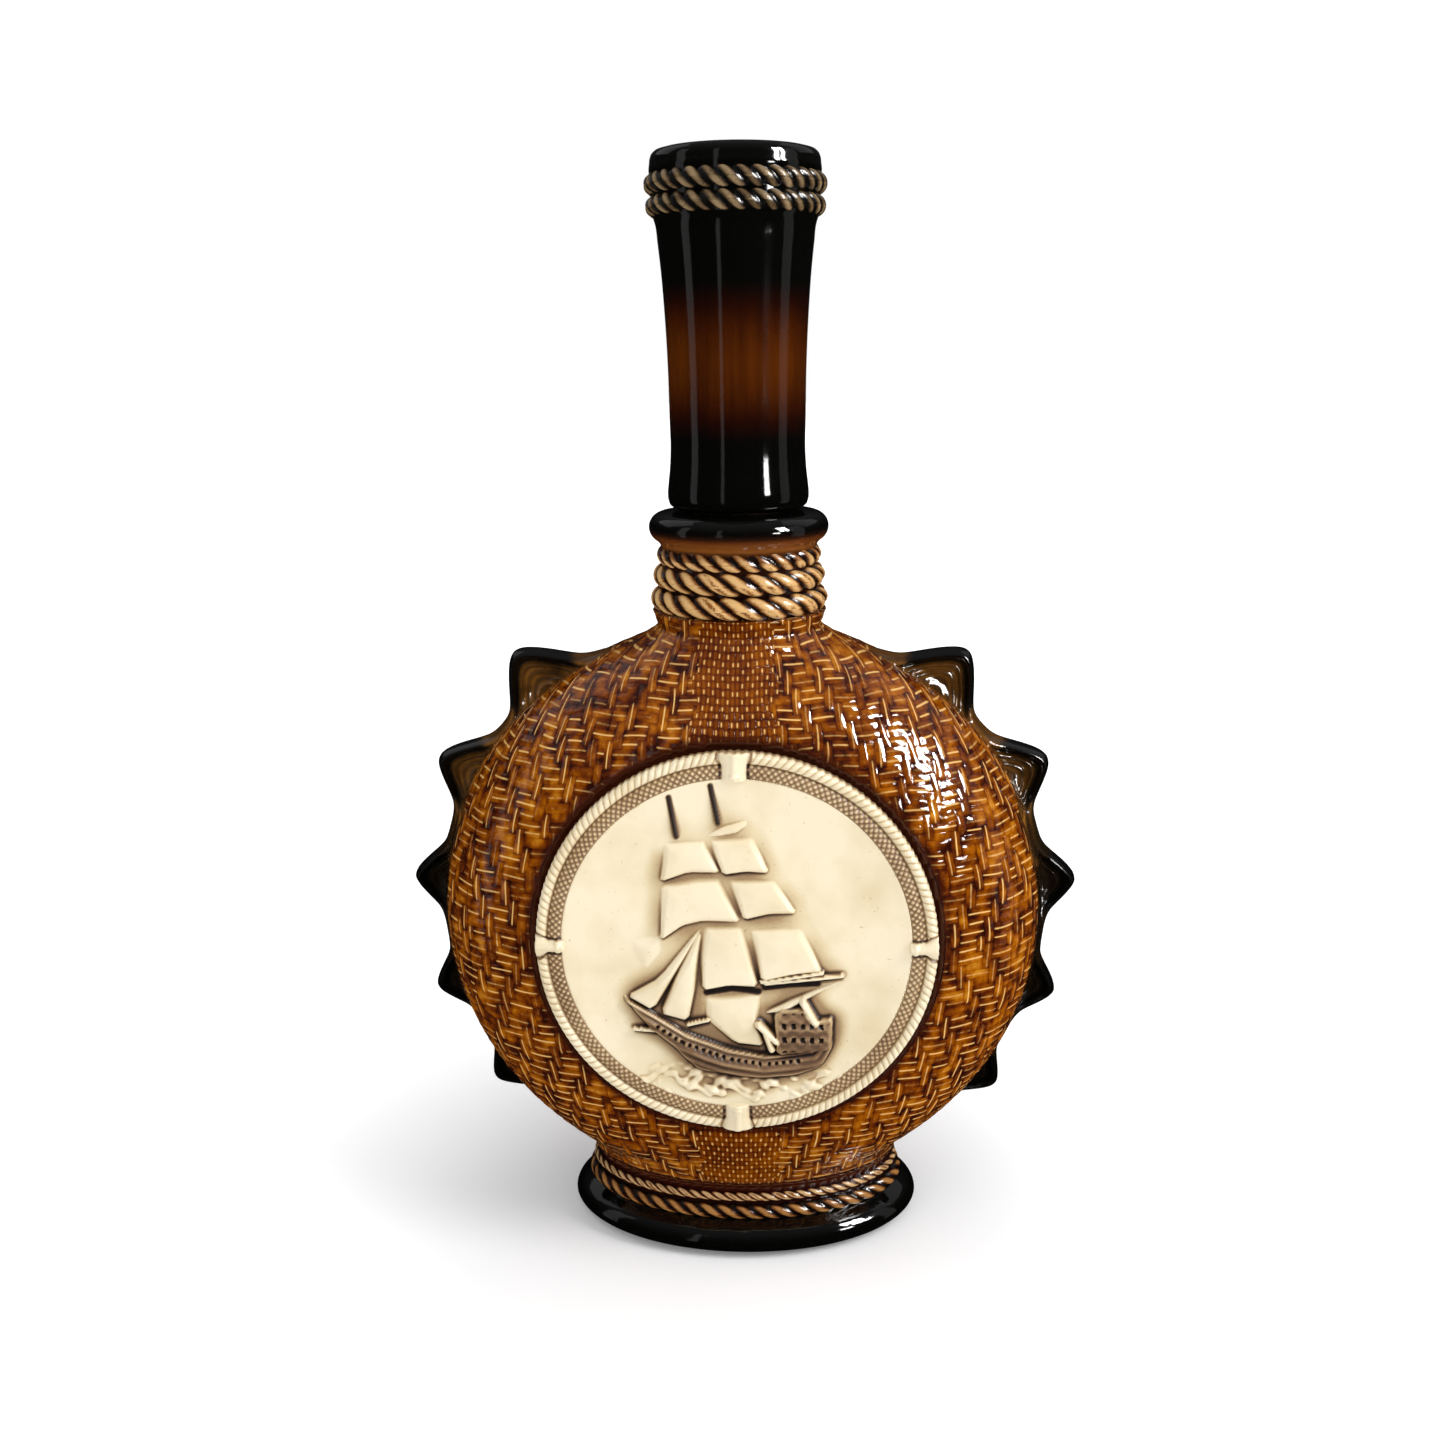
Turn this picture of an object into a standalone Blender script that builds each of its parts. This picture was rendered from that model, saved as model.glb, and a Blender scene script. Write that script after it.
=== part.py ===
"""Glazed ceramic flask decanter with a ship medallion and a corked stopper.

Frame: origin at the centre of the foot's flat underside, +Z up, +X to the
viewer's right, -Y out of the medallion face.  All lengths are in metres.
"""
import math

import bmesh
import bpy
from mathutils import Vector

MM = 0.001
GAP = 0.3 * MM                      # clearance between pieces that touch

# Flask body: a thick disc standing on edge between the foot and the neck.
DISC_Z = 91.0 * MM                  # height of the disc's centre
DISC_RX = 79.3 * MM                 # half width
DISC_RZ_UP = 74.8 * MM              # half height above the centre
DISC_RZ_DOWN = 78.5 * MM            # half height below the centre
DISC_DEPTH = 40.5 * MM              # half depth at the centre
FACE_POWER = 3.6                    # how flat the front and back are
EDGE_POWER = 2.2                    # how round the rim is

# Neck, with three moulded rope rings and a fat collar.
NECK_TOP = 195.0 * MM
NECK_CORE_R = 20.2 * MM
ROPE_ZONE = (170.0 * MM, 186.2 * MM)
NECK_ROPES = ((172.9, 22.6, 2.9), (178.7, 21.9, 2.8), (183.9, 20.9, 2.4))
COLLAR_Z = 190.9 * MM
COLLAR_R = 19.0 * MM
COLLAR_BEAD_R = 3.7 * MM
LIP_R = 15.2 * MM
BORE_R = 11.6 * MM

# Foot: an oval flange with two moulded rope rings above it.
FOOT_BASE = (44.6 * MM, 28.0 * MM)
FOOT_PROFILE = (                    # height, outset from the base oval, in mm
    (0.0, -1.2), (0.8, 1.2), (2.2, 2.8), (3.9, 3.4), (5.8, 2.9), (7.6, 1.4),
    (8.8, -0.5), (9.7, -1.9), (10.5, -1.5), (11.5, -1.1), (12.5, -1.5),
    (13.3, -2.4), (14.0, -2.2), (15.0, -1.8), (16.0, -2.3), (17.2, -3.0),
    (19.5, -2.6), (24.0, -3.2), (30.0, -7.0), (36.0, -13.0), (44.0, -24.0),
)
BLEND = 4.5 * MM                    # fillet between disc and foot, and inside the cavity
NECK_BLEND = 9.0 * MM               # wider fillet where the shoulders sweep up into the neck
FADE = 12.0 * MM                    # the fillet fades where the disc narrows below this

# Pointed fins on the rim, five on each side.
FIN_DEGREES = (-37.6, -17.0, 4.2, 26.3, 49.0)
FIN_CENTRE_Z = 92.4 * MM            # centre of the circle that the tips lie on
FIN_TIP_R = 88.5 * MM
FIN_TIP_ROUND = 2.4 * MM
FIN_FOOT_BLEND = 1.6 * MM
FIN_HALF_THICK = 4.8 * MM
FLANGE_PROUD = 1.6 * MM
FLANGE_SPAN_DEG = (-57.0, 66.0)
FLANGE_ROOT_R = 66.0 * MM
FLANGE_STATIONS = 66                # sections along each finned rim
FLANGE_EDGE = ((-3.4, 1.0), (-1.5, 0.86), (-0.35, 0.52), (0.0, 0.0))   # inset in mm, share of thickness

# Cavity inside the slip-cast shell.
WALL = 6.0 * MM
FLOOR_Z = 7.0 * MM
CAVITY_FRONT = 28.6 * MM
CAVITY_BACK = 34.5 * MM
CAVITY_FOOT = (33.0 * MM, 17.0 * MM)
CAVITY_HEIGHTS = (7.0, 8.5, 12.0, 18.0, 24.0, 31.0, 40.0, 52.0, 68.0, 91.0, 112.0, 130.0, 144.0,
                  154.0, 161.0, 166.0, 172.0)                                   # in mm

# Medallion, set in a round pocket in the front.
MEDAL_Z = 92.5 * MM
MEDAL_R = 49.2 * MM
POCKET_R = 50.8 * MM
POCKET_FLOOR_Y = -33.6 * MM
BED_R = 46.0 * MM
BED_THICK = 1.0 * MM
MEDAL_BACK_Y = POCKET_FLOOR_Y - GAP - BED_THICK - GAP
MEDAL_FIELD_Y = -37.6 * MM
MEDAL_FACETS = 72
MEDAL_RINGS = (49.0, 47.6, 45.9, 44.6, 43.0, 41.0, 38.5, 34.5, 30.5, 26.5, 22.5, 18.5, 14.5, 10.5, 6.5, 3.0)

# Stopper: a tall hollow column with two rope rings and a rounded cap.
STOPPER_BOTTOM = NECK_TOP + GAP
STOPPER_PROFILE = (                 # height, radius, in mm
    (195.3, 13.4), (195.45, 15.2), (196.1, 16.7), (197.4, 17.5), (199.2, 17.7),
    (201.5, 17.5), (205.0, 17.1), (210.0, 16.75), (218.0, 16.9), (228.0, 17.0),
    (236.0, 17.25), (244.0, 17.65), (252.0, 18.2), (259.0, 18.9), (263.2, 19.4),
    (264.6, 19.8), (265.6, 20.9), (267.0, 21.6), (268.4, 21.5), (269.2, 21.1),
    (270.0, 21.5), (271.3, 22.0), (272.8, 21.8), (273.9, 20.9), (274.6, 20.6),
    (276.6, 20.5), (278.2, 20.3), (279.4, 19.7), (280.0, 18.4),
)
STOPPER_SOCKET_R = 12.1 * MM
STOPPER_HOLLOW = ((217.0, 12.1), (240.0, 12.9), (256.0, 14.0), (268.0, 15.6), (275.0, 14.6))   # in mm

# Cork plug, glued into the stopper's socket and seated in the neck.
CORK_TOP = 214.0 * MM
CORK_BOTTOM = 171.0 * MM
CORK_R_TOP = 11.2 * MM
CORK_R_BOTTOM = 10.6 * MM
CORK_SHANK_R = 10.7 * MM
CORK_CHAMFER = 0.8 * MM
GLUE_BOTTOM = 198.0 * MM
GLUE_TOP = 213.0 * MM
GLUE_R = (11.0 * MM, 11.8 * MM)

COLUMNS = 48                        # facets round the flask
ROUND_FACETS = 36                   # facets round the stopper


def material(name, colour, roughness, coat=0.0):
    mat = bpy.data.materials.new(name)
    mat.use_nodes = True
    shader = mat.node_tree.nodes["Principled BSDF"]
    shader.inputs["Base Color"].default_value = (*colour, 1.0)
    shader.inputs["Roughness"].default_value = roughness
    shader.inputs["Coat Weight"].default_value = coat
    mat.diffuse_color = (*colour, 1.0)
    return mat


def mesh_object(name, bm, mat, sharp_deg=40.0):
    bmesh.ops.recalc_face_normals(bm, faces=bm.faces[:])
    mesh = bpy.data.meshes.new(name)
    bm.to_mesh(mesh)
    bm.free()
    mesh.shade_smooth()
    mesh.set_sharp_from_angle(angle=math.radians(sharp_deg))
    obj = bpy.data.objects.new(name, mesh)
    bpy.context.scene.collection.objects.link(obj)
    if mat is not None:
        mesh.materials.append(mat)
    return obj


def hidden_cutter(obj):
    obj.hide_render = True
    obj.display_type = "WIRE"
    return obj


def loft(rings, closed_path=False):
    """Skin a list of closed point rings; flat caps unless the path closes."""
    bm = bmesh.new()
    rows = [[bm.verts.new(p) for p in ring] for ring in rings]
    pairs = list(zip(rows, rows[1:]))
    if closed_path:
        pairs.append((rows[-1], rows[0]))
    for low, high in pairs:
        for i in range(len(low)):
            j = (i + 1) % len(low)
            bm.faces.new((low[i], low[j], high[j], high[i]))
    if not closed_path:
        bm.faces.new(list(reversed(rows[0])))
        bm.faces.new(rows[-1])
    return bm


def ring_of_revolution(z, radius, facets=ROUND_FACETS):
    step = 2.0 * math.pi / facets
    return [Vector((radius * math.cos(i * step), radius * math.sin(i * step), z)) for i in range(facets)]


def turned(profile, facets=ROUND_FACETS):
    return loft([ring_of_revolution(z, r, facets) for z, r in profile])


def add_boolean(target, tool, operation):
    mod = target.modifiers.new(operation.lower() + "_" + tool.name, "BOOLEAN")
    mod.object = tool
    mod.operation = operation
    mod.solver = "EXACT"


def interpolate(table, z):
    """Straight-line reading of a (height, value) table, in its own units."""
    if z <= table[0][0]:
        return table[0][1]
    for (z0, v0), (z1, v1) in zip(table, table[1:]):
        if z <= z1:
            return v0 + (v1 - v0) * (z - z0) / (z1 - z0)
    return table[-1][1]


# ---------------------------------------------------------------- flask shape
def disc_reach(z, angle, rx, rz_up, rz_down, depth):
    """Distance from the Z axis to the disc's surface at a height and bearing."""
    rise = z - DISC_Z
    v = abs(rise) / (rz_up if rise > 0.0 else rz_down)
    if v >= 1.0:
        return 0.0
    c, s = abs(math.cos(angle)), abs(math.sin(angle))
    low, high = 0.0, rx * 1.01
    for _ in range(40):
        mid = 0.5 * (low + high)
        rho = math.hypot(mid * c / rx, v)
        value = rho ** FACE_POWER + (mid * s / depth) ** EDGE_POWER
        low, high = (mid, high) if value < 1.0 else (low, mid)
    return low


def oval_reach(angle, a, b):
    return a * b / math.hypot(b * math.cos(angle), a * math.sin(angle))


def neck_reach(z):
    """Radius of the neck with its ropes and collar."""
    if z < ROPE_ZONE[0]:
        drop = (ROPE_ZONE[0] - z) / MM
        return NECK_CORE_R + 1.9 * MM - 0.35 * drop * MM
    radius = NECK_CORE_R - 0.9 * MM * max(0.0, (z - ROPE_ZONE[1]) / (NECK_TOP - ROPE_ZONE[1]))
    for centre, crest, half in NECK_ROPES:
        t = (z / MM - centre) / half
        if abs(t) < 1.0:
            radius = max(radius, (crest - half * 0.5 * (1.0 - math.sqrt(1.0 - t * t))) * MM)
    offset = z - COLLAR_Z
    if abs(offset) < COLLAR_BEAD_R:
        radius = max(radius if offset < 0 else 0.0,
                     COLLAR_R + math.sqrt(COLLAR_BEAD_R ** 2 - offset ** 2))
    return radius


def foot_outset(z):
    return interpolate(FOOT_PROFILE, z / MM) * MM


def smooth_max(a, b, blend):
    return 0.5 * (a + b + math.sqrt((a - b) ** 2 + blend ** 2)) if min(a, b) > 0.0 else max(a, b)


def flask_reach(z, angle):
    disc = disc_reach(z, angle, DISC_RX, DISC_RZ_UP, DISC_RZ_DOWN, DISC_DEPTH)
    if z > 120.0 * MM:
        other = neck_reach(z)
        width = NECK_BLEND
    else:
        out = foot_outset(z)
        other = oval_reach(angle, max(FOOT_BASE[0] + out, 1.0 * MM), max(FOOT_BASE[1] + out, 1.0 * MM))
        width = BLEND * min(1.0, max(0.0, (z / MM - 16.0) / 6.0))
    if disc <= 0.0:
        return other
    return smooth_max(disc, other, width * min(1.0, disc / FADE))


def column_angles(count, a, b):
    """Bearings spread evenly round an oval, so its tight ends get more."""
    angles = []
    for i in range(count):
        t = 2.0 * math.pi * (i + 0.5) / count
        angles.append(math.atan2(b * math.sin(t), a * math.cos(t)))
    return angles


def flask_rows():
    """Heights of the flask's section rings, close together where it curves fast."""
    foot = [z for z, _ in FOOT_PROFILE if z < 20.0]
    disc = [22.0, 25.0, 29.0, 34.0, 41.0, 49.0, 58.0, 69.0, 80.0, 91.0, 102.0,
            113.0, 124.0, 133.0, 141.0, 148.0, 154.0, 158.0, 161.0, 163.5, 165.5, 167.6]
    neck = [170.0]
    for centre, _, half in NECK_ROPES:
        neck += [centre - 0.75 * half, centre, centre + 0.75 * half]
    neck += [186.4]
    swings = (-74, -45, -20, 5, 30, 52, 70)
    bead = [(COLLAR_Z + COLLAR_BEAD_R * math.sin(math.radians(d))) / MM for d in swings]
    return [z * MM for z in foot + disc + neck + bead]


def bottle_outer():
    angles = column_angles(COLUMNS, 79.0, 45.0)
    rings = []
    for z in flask_rows():
        rings.append([Vector((flask_reach(z, a) * math.cos(a), flask_reach(z, a) * math.sin(a), z))
                      for a in angles])
    lip = [(NECK_TOP - 0.35 * MM, LIP_R + 1.6 * MM), (NECK_TOP, LIP_R)]
    for z, r in lip:
        rings.append([Vector((r * math.cos(a), r * math.sin(a), z)) for a in angles])
    return loft(rings)


def fin_radius(theta):
    """Outline of the rim flange: body outline plus rounded 90-degree points."""
    rz = DISC_RZ_UP if theta > 0.0 else DISC_RZ_DOWN
    base = 1.0 / math.hypot(math.cos(theta) / DISC_RX, math.sin(theta) / rz) + FLANGE_PROUD
    tip = FIN_TIP_R + (FIN_CENTRE_Z - DISC_Z) * math.sin(theta)
    outline = base
    for degrees in FIN_DEGREES:
        run = FIN_TIP_R * (theta - math.radians(degrees))
        tall = tip + FIN_TIP_ROUND - math.sqrt(run ** 2 + FIN_TIP_ROUND ** 2) - base
        outline += FIN_FOOT_BLEND * math.log1p(math.exp(min(tall / FIN_FOOT_BLEND, 40.0)))
    return outline


def flange(side):
    """The finned rim of one side, rounded across its outer edge."""
    start, end = FLANGE_SPAN_DEG
    rings = []
    for i in range(FLANGE_STATIONS + 1):
        theta = math.radians(start + (end - start) * i / FLANGE_STATIONS)
        tip = fin_radius(theta)
        front = [(tip + inset * MM, -FIN_HALF_THICK * share) for inset, share in FLANGE_EDGE]
        back = [(r, -y) for r, y in reversed(front[:-1])]
        loop = [(FLANGE_ROOT_R, -FIN_HALF_THICK)] + front + back + [(FLANGE_ROOT_R, FIN_HALF_THICK)]
        rings.append([Vector((side * r * math.cos(theta), y, DISC_Z + r * math.sin(theta))) for r, y in loop])
    name = "fin_guide_right" if side > 0 else "fin_guide_left"
    return hidden_cutter(mesh_object(name, loft(rings), None))


def foot_well_reach(z, angle):
    """The cavity's oval well in the foot, with a rounded floor corner."""
    shrink = 0.9 * max(0.0, z - 22.0 * MM)
    corner = 2.0 * MM * max(0.0, 1.0 - (z - FLOOR_Z) / (3.0 * MM))
    return oval_reach(angle, max(CAVITY_FOOT[0] - shrink, 4.0 * MM) - corner,
                      max(CAVITY_FOOT[1] - shrink, 4.0 * MM) - corner)


def cavity():
    """Space inside the shell: disc, foot well and neck bore in one solid."""
    angles = column_angles(28, 72.0, 34.0)
    depth = 0.5 * (CAVITY_FRONT + CAVITY_BACK)
    shift = 0.5 * (CAVITY_BACK - CAVITY_FRONT)
    rings = []
    for z in [h * MM for h in CAVITY_HEIGHTS]:
        closeness = max(0.0, 1.0 - abs(z - DISC_Z) / (DISC_RZ_UP - WALL))
        offset = shift * min(1.0, 3.0 * closeness)
        ring = []
        for a in angles:
            disc = disc_reach(z, a, DISC_RX - WALL, DISC_RZ_UP - WALL, DISC_RZ_DOWN - WALL, depth)
            other = BORE_R if z > DISC_Z else foot_well_reach(z, a)
            reach = smooth_max(disc, other, BLEND * min(1.0, disc / FADE))
            ring.append(Vector((reach * math.cos(a), reach * math.sin(a) + offset, z)))
        rings.append(ring)
    for z, r in ((NECK_TOP - 0.8 * MM, BORE_R), (NECK_TOP + 0.6 * MM, BORE_R + 1.1 * MM)):
        rings.append([Vector((r * math.cos(a), r * math.sin(a), z)) for a in angles])
    return hidden_cutter(mesh_object("cavity_guide", loft(rings), None))


def disc_along_y(name, radius, y_low, y_high, mat, facets=64):
    bm = bmesh.new()
    ring = [(radius * math.cos(2 * math.pi * i / facets), radius * math.sin(2 * math.pi * i / facets))
            for i in range(facets)]
    rows = [[bm.verts.new((x, y, MEDAL_Z + z)) for x, z in ring] for y in (y_low, y_high)]
    for i in range(facets):
        j = (i + 1) % facets
        bm.faces.new((rows[0][i], rows[0][j], rows[1][j], rows[1][i]))
    bm.faces.new(rows[0])
    bm.faces.new(rows[1])
    return mesh_object(name, bm, mat)


def bottle_body():
    glaze = material("amber_glaze", (0.32, 0.13, 0.02), 0.16, coat=0.6)
    body = mesh_object("bottle_body", bottle_outer(), glaze, 50.0)
    for side in (-1, 1):
        add_boolean(body, flange(side), "UNION")
    add_boolean(body, cavity(), "DIFFERENCE")
    pocket = hidden_cutter(disc_along_y("pocket_guide", POCKET_R, -60.0 * MM, POCKET_FLOOR_Y, None))
    add_boolean(body, pocket, "DIFFERENCE")


# ------------------------------------------------------------------ medallion
def bump(distance, half_width):
    """Rounded ridge: one at the middle, nothing beyond the half width."""
    t = min(1.0, abs(distance) / half_width)
    return math.sqrt(max(0.0, 1.0 - t * t))


def in_quad(x, z, corners):
    """Depth inside a convex quad, negative outside, in the corners' units."""
    depth = 1e9
    for (x0, z0), (x1, z1) in zip(corners, corners[1:] + corners[:1]):
        edge = math.hypot(x1 - x0, z1 - z0)
        depth = min(depth, ((x1 - x0) * (z - z0) - (z1 - z0) * (x - x0)) / edge)
    return depth


SHIP_HULL = [(-21.0, -18.5), (-10.0, -29.0), (20.0, -28.5), (25.5, -16.0), (5.0, -20.0)]
SHIP_SAILS = (
    [(-15.5, 4.5), (-17.0, 27.0), (3.0, 27.0), (12.0, 4.5)],
    [(-2.0, -16.0), (-4.0, 5.0), (14.0, 5.0), (18.0, -14.0)],
    [(6.0, 9.0), (3.0, 27.0), (17.0, 26.0), (24.0, 9.0)],
    [(14.0, -9.0), (11.0, 8.0), (26.0, 8.0), (34.0, -9.0)],
    [(-21.0, -17.0), (-4.0, 7.0), (-4.0, -15.0), (-8.0, -17.0)],
)


def medal_height(x, z):
    """Relief above the medallion's field, in mm, with x and z from its centre."""
    r = math.hypot(x, z)
    relief = 1.9 * bump(r - 47.6, 2.2) + 1.1 * bump(r - 43.0, 2.4)
    if r > 40.0:
        turn = abs((math.degrees(math.atan2(z, x)) + 45.0) % 90.0 - 45.0) * math.radians(1.0) * r
        relief = max(relief, 2.6 * bump(turn, 3.4) * bump(r - 45.2, 4.6))
    for sail in SHIP_SAILS:
        depth = in_quad(x, z, sail)
        relief = max(relief, 2.1 * min(1.0, max(0.0, depth + 1.0) / 4.0))
    depth = in_quad(x, z, SHIP_HULL)
    return max(relief, 2.8 * min(1.0, max(0.0, depth + 1.0) / 3.5))


def medallion():
    bisque = material("cream_bisque", (0.86, 0.78, 0.62), 0.6)
    bm = bmesh.new()
    rows = []
    for ring, r in enumerate((MEDAL_R / MM,) + MEDAL_RINGS):
        row = []
        for i in range(MEDAL_FACETS):
            a = 2.0 * math.pi * i / MEDAL_FACETS
            x, z = r * math.cos(a), r * math.sin(a)
            lift = medal_height(x, z) * MM if ring else 0.0
            row.append(bm.verts.new((x * MM, MEDAL_FIELD_Y - lift, MEDAL_Z + z * MM)))
        rows.append(row)
    back = [bm.verts.new((v.co.x, MEDAL_BACK_Y, v.co.z)) for v in rows[0]]
    centre = bm.verts.new((0.0, MEDAL_FIELD_Y - medal_height(0.0, 0.0) * MM, MEDAL_Z))
    for low, high in zip([back] + rows, rows):
        for i in range(MEDAL_FACETS):
            j = (i + 1) % MEDAL_FACETS
            bm.faces.new((low[i], low[j], high[j], high[i]))
    for i in range(MEDAL_FACETS):
        bm.faces.new((rows[-1][i], rows[-1][(i + 1) % MEDAL_FACETS], centre))
    bm.faces.new(back)
    return mesh_object("medallion", bm, bisque, 60.0)


def medallion_adhesive():
    paste = material("adhesive", (0.55, 0.45, 0.30), 0.7)
    front = POCKET_FLOOR_Y - GAP - BED_THICK
    return disc_along_y("medallion_adhesive", BED_R, front, POCKET_FLOOR_Y - GAP, paste, 48)


# -------------------------------------------------------------------- stopper
def stopper_shell():
    glaze = material("black_glaze", (0.012, 0.010, 0.009), 0.12, coat=0.6)
    shell = mesh_object("stopper_shell", turned([(z * MM, r * MM) for z, r in STOPPER_PROFILE]), glaze, 50.0)
    hollow = [(STOPPER_BOTTOM - 1.0 * MM, STOPPER_SOCKET_R)]
    hollow += [(z * MM, r * MM) for z, r in STOPPER_HOLLOW]
    add_boolean(shell, hidden_cutter(mesh_object("hollow_guide", turned(hollow, 32), None)), "DIFFERENCE")
    return shell


def stopper_cork():
    bark = material("cork", (0.52, 0.34, 0.18), 0.85)
    profile = (
        (CORK_BOTTOM, CORK_R_BOTTOM - CORK_CHAMFER),
        (CORK_BOTTOM + CORK_CHAMFER, CORK_R_BOTTOM),
        (NECK_TOP - 0.5 * MM, CORK_R_TOP),
        (NECK_TOP + 2.0 * MM, CORK_R_TOP),
        (NECK_TOP + 2.4 * MM, CORK_SHANK_R),
        (CORK_TOP, CORK_SHANK_R),
    )
    return mesh_object("stopper_cork", turned(profile, 40), bark)


def cork_adhesive():
    resin = material("cork_adhesive", (0.62, 0.50, 0.30), 0.5)
    inner, outer = GLUE_R
    rings = []
    step = 2.0 * math.pi / 40
    corners = ((inner, GLUE_BOTTOM), (outer, GLUE_BOTTOM), (outer, GLUE_TOP), (inner, GLUE_TOP))
    for i in range(40):
        a = i * step
        rings.append([Vector((r * math.cos(a), r * math.sin(a), z)) for r, z in corners])
    return mesh_object("cork_adhesive", loft(rings, closed_path=True), resin)


def main():
    for obj in list(bpy.data.objects):
        bpy.data.objects.remove(obj, do_unlink=True)
    bottle_body()
    medallion()
    medallion_adhesive()
    lift = bpy.data.objects.new("stopper_lift", None)
    bpy.context.scene.collection.objects.link(lift)
    lift.location = (0.0, 0.0, NECK_TOP)
    bpy.context.view_layer.update()
    for piece in (stopper_shell(), stopper_cork(), cork_adhesive()):
        piece.parent = lift
        piece.matrix_parent_inverse = lift.matrix_world.inverted()


main()
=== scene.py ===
"""Looks of the glazed flask decanter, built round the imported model.

Lengths are in millimetres until a mesh is made.  The frame is the packed
one: +Z up, -Y out of the medallion face, origin under the middle of the foot.
"""
import math

import bpy
import numpy as np
from mathutils import Matrix, Vector


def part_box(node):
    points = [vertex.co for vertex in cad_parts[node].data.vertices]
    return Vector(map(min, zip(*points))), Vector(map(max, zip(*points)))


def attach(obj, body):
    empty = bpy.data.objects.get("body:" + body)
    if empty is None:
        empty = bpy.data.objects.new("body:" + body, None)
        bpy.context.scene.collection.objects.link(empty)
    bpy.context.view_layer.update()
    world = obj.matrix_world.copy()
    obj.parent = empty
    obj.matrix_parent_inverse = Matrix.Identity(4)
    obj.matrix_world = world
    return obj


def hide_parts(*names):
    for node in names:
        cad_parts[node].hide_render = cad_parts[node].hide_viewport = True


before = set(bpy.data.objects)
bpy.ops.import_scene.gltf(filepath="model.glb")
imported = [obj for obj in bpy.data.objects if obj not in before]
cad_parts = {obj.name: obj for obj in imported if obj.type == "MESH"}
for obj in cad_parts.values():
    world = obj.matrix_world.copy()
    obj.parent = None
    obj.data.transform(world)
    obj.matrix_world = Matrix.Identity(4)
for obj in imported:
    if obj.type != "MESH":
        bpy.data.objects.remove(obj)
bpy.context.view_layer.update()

MM = 0.001
TURN = 2.0 * math.pi


def box_mm(node):
    low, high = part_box(node)
    return np.array(low) / MM, np.array(high) / MM


BODY_LOW, BODY_HIGH = box_mm("bottle_body")
MEDAL_LOW, MEDAL_HIGH = box_mm("medallion")
STOPPER_FOOT = box_mm("stopper_shell")[0][2]
CORK_LOW, CORK_HIGH = box_mm("stopper_cork")

# Flask body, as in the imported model.
DISC_Z = 91.0
DISC_RX = 79.3
DISC_RZ = (74.8, 78.5)              # half heights above and below the centre
DISC_DEPTH = 0.5 * (BODY_HIGH[1] - BODY_LOW[1])
FACE_POWER = 3.6
EDGE_POWER = 2.2
FOOT_BLEND = 4.5
NECK_BLEND = 9.0
FADE = 12.0                         # reach below which the fillets die away
WALL = 6.0
HALVINGS = 32                       # of the range in which the disc's surface is searched for
NECK_CORE_R = 20.2
ROPES_FROM = 170.0
COLLAR_Z = 190.9
COLLAR_R = 19.0
COLLAR_BEAD_R = 3.7
BORE_R = 11.6
FOOT_BASE = (44.6, 28.0)
# Height, and outset from the base oval.
FOOT_CURVE = ((0.0, -2.4), (0.8, 0.0), (2.2, 2.0), (4.1, 3.2), (5.8, 2.9), (7.6, 1.4), (8.8, -0.6),
              (9.8, -2.3), (11.5, -3.1), (13.2, -3.4), (15.0, -3.7), (17.0, -3.5), (19.5, -2.6),
              (24.0, -3.2), (30.0, -7.0), (36.0, -13.0), (44.0, -24.0))
# Under the foot: share of its reach, and height.
UNDERSIDE = ((0.06, 1.0), (0.4, 1.0), (0.78, 1.0), (0.83, 0.7), (0.86, 0.15), (0.88, 0.0), (0.95, 0.0))
NECK_HEIGHTS = (170.6, 172.0, 175.0, 178.0, 181.0, 184.0, 186.0, 186.8)
# Height and radius, over the lip and down the bore.
LIP_CURVE = ((194.9, 17.2), (195.0, 15.2), (195.0, 13.6), (194.8, 12.7), (194.2, 12.0), (193.0, BORE_R),
             (186.0, BORE_R), (178.0, BORE_R), (172.0, BORE_R))
INSIDE_HEIGHTS = (166.0, 162.0, 158.0, 154.0, 149.0, 143.0, 134.0, 120.0, 104.0, 91.0, 78.0, 62.0, 48.0,
                  36.0, 28.0, 20.0, 12.0, 7.0)
CAVITY_FOOT = (33.0, 17.0)
CAVITY_DEPTH = 31.5
CAVITY_SHIFT = 3.0
FLOOR_Z = 7.0

# Weave.
COLUMNS = 376
SPACING_OVAL = (79.0, 45.0)         # half axes of the oval on which the columns are spaced
FRONT_BIAS = 0.22                   # share by which columns crowd towards the front
ROW_STEP = 0.92
BODY_Z = (20.0, 170.0)              # heights between which the body's mesh rows lie
STRIP_W = 2.4
STRIP_H = 2.3
REPEAT = 8                          # rows before the weave repeats
FLOAT_UP = 3                        # of them, the rows that an upright float covers
STEP = 2                            # rows that the weave climbs from column to column
ZIGZAG = 15                         # columns before it turns and steps down again
PANEL_W = 1.45
PANEL_H = 1.95
PANEL_HALF = 11.2
CREST_HALF = 0.23
RELIEF = 0.36
MEAN_HEIGHT = 0.45                  # weave height that lies on the plain surface
LEAN = 0.30                         # how much the columns close up towards neck and foot
MESH_REACH = 0.28                   # half of the ground that one mesh point stands for
FIN_STRIP = (5.5, 13.0, 3.0)        # smooth strip round the fins: half width above and below, and fade

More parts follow.
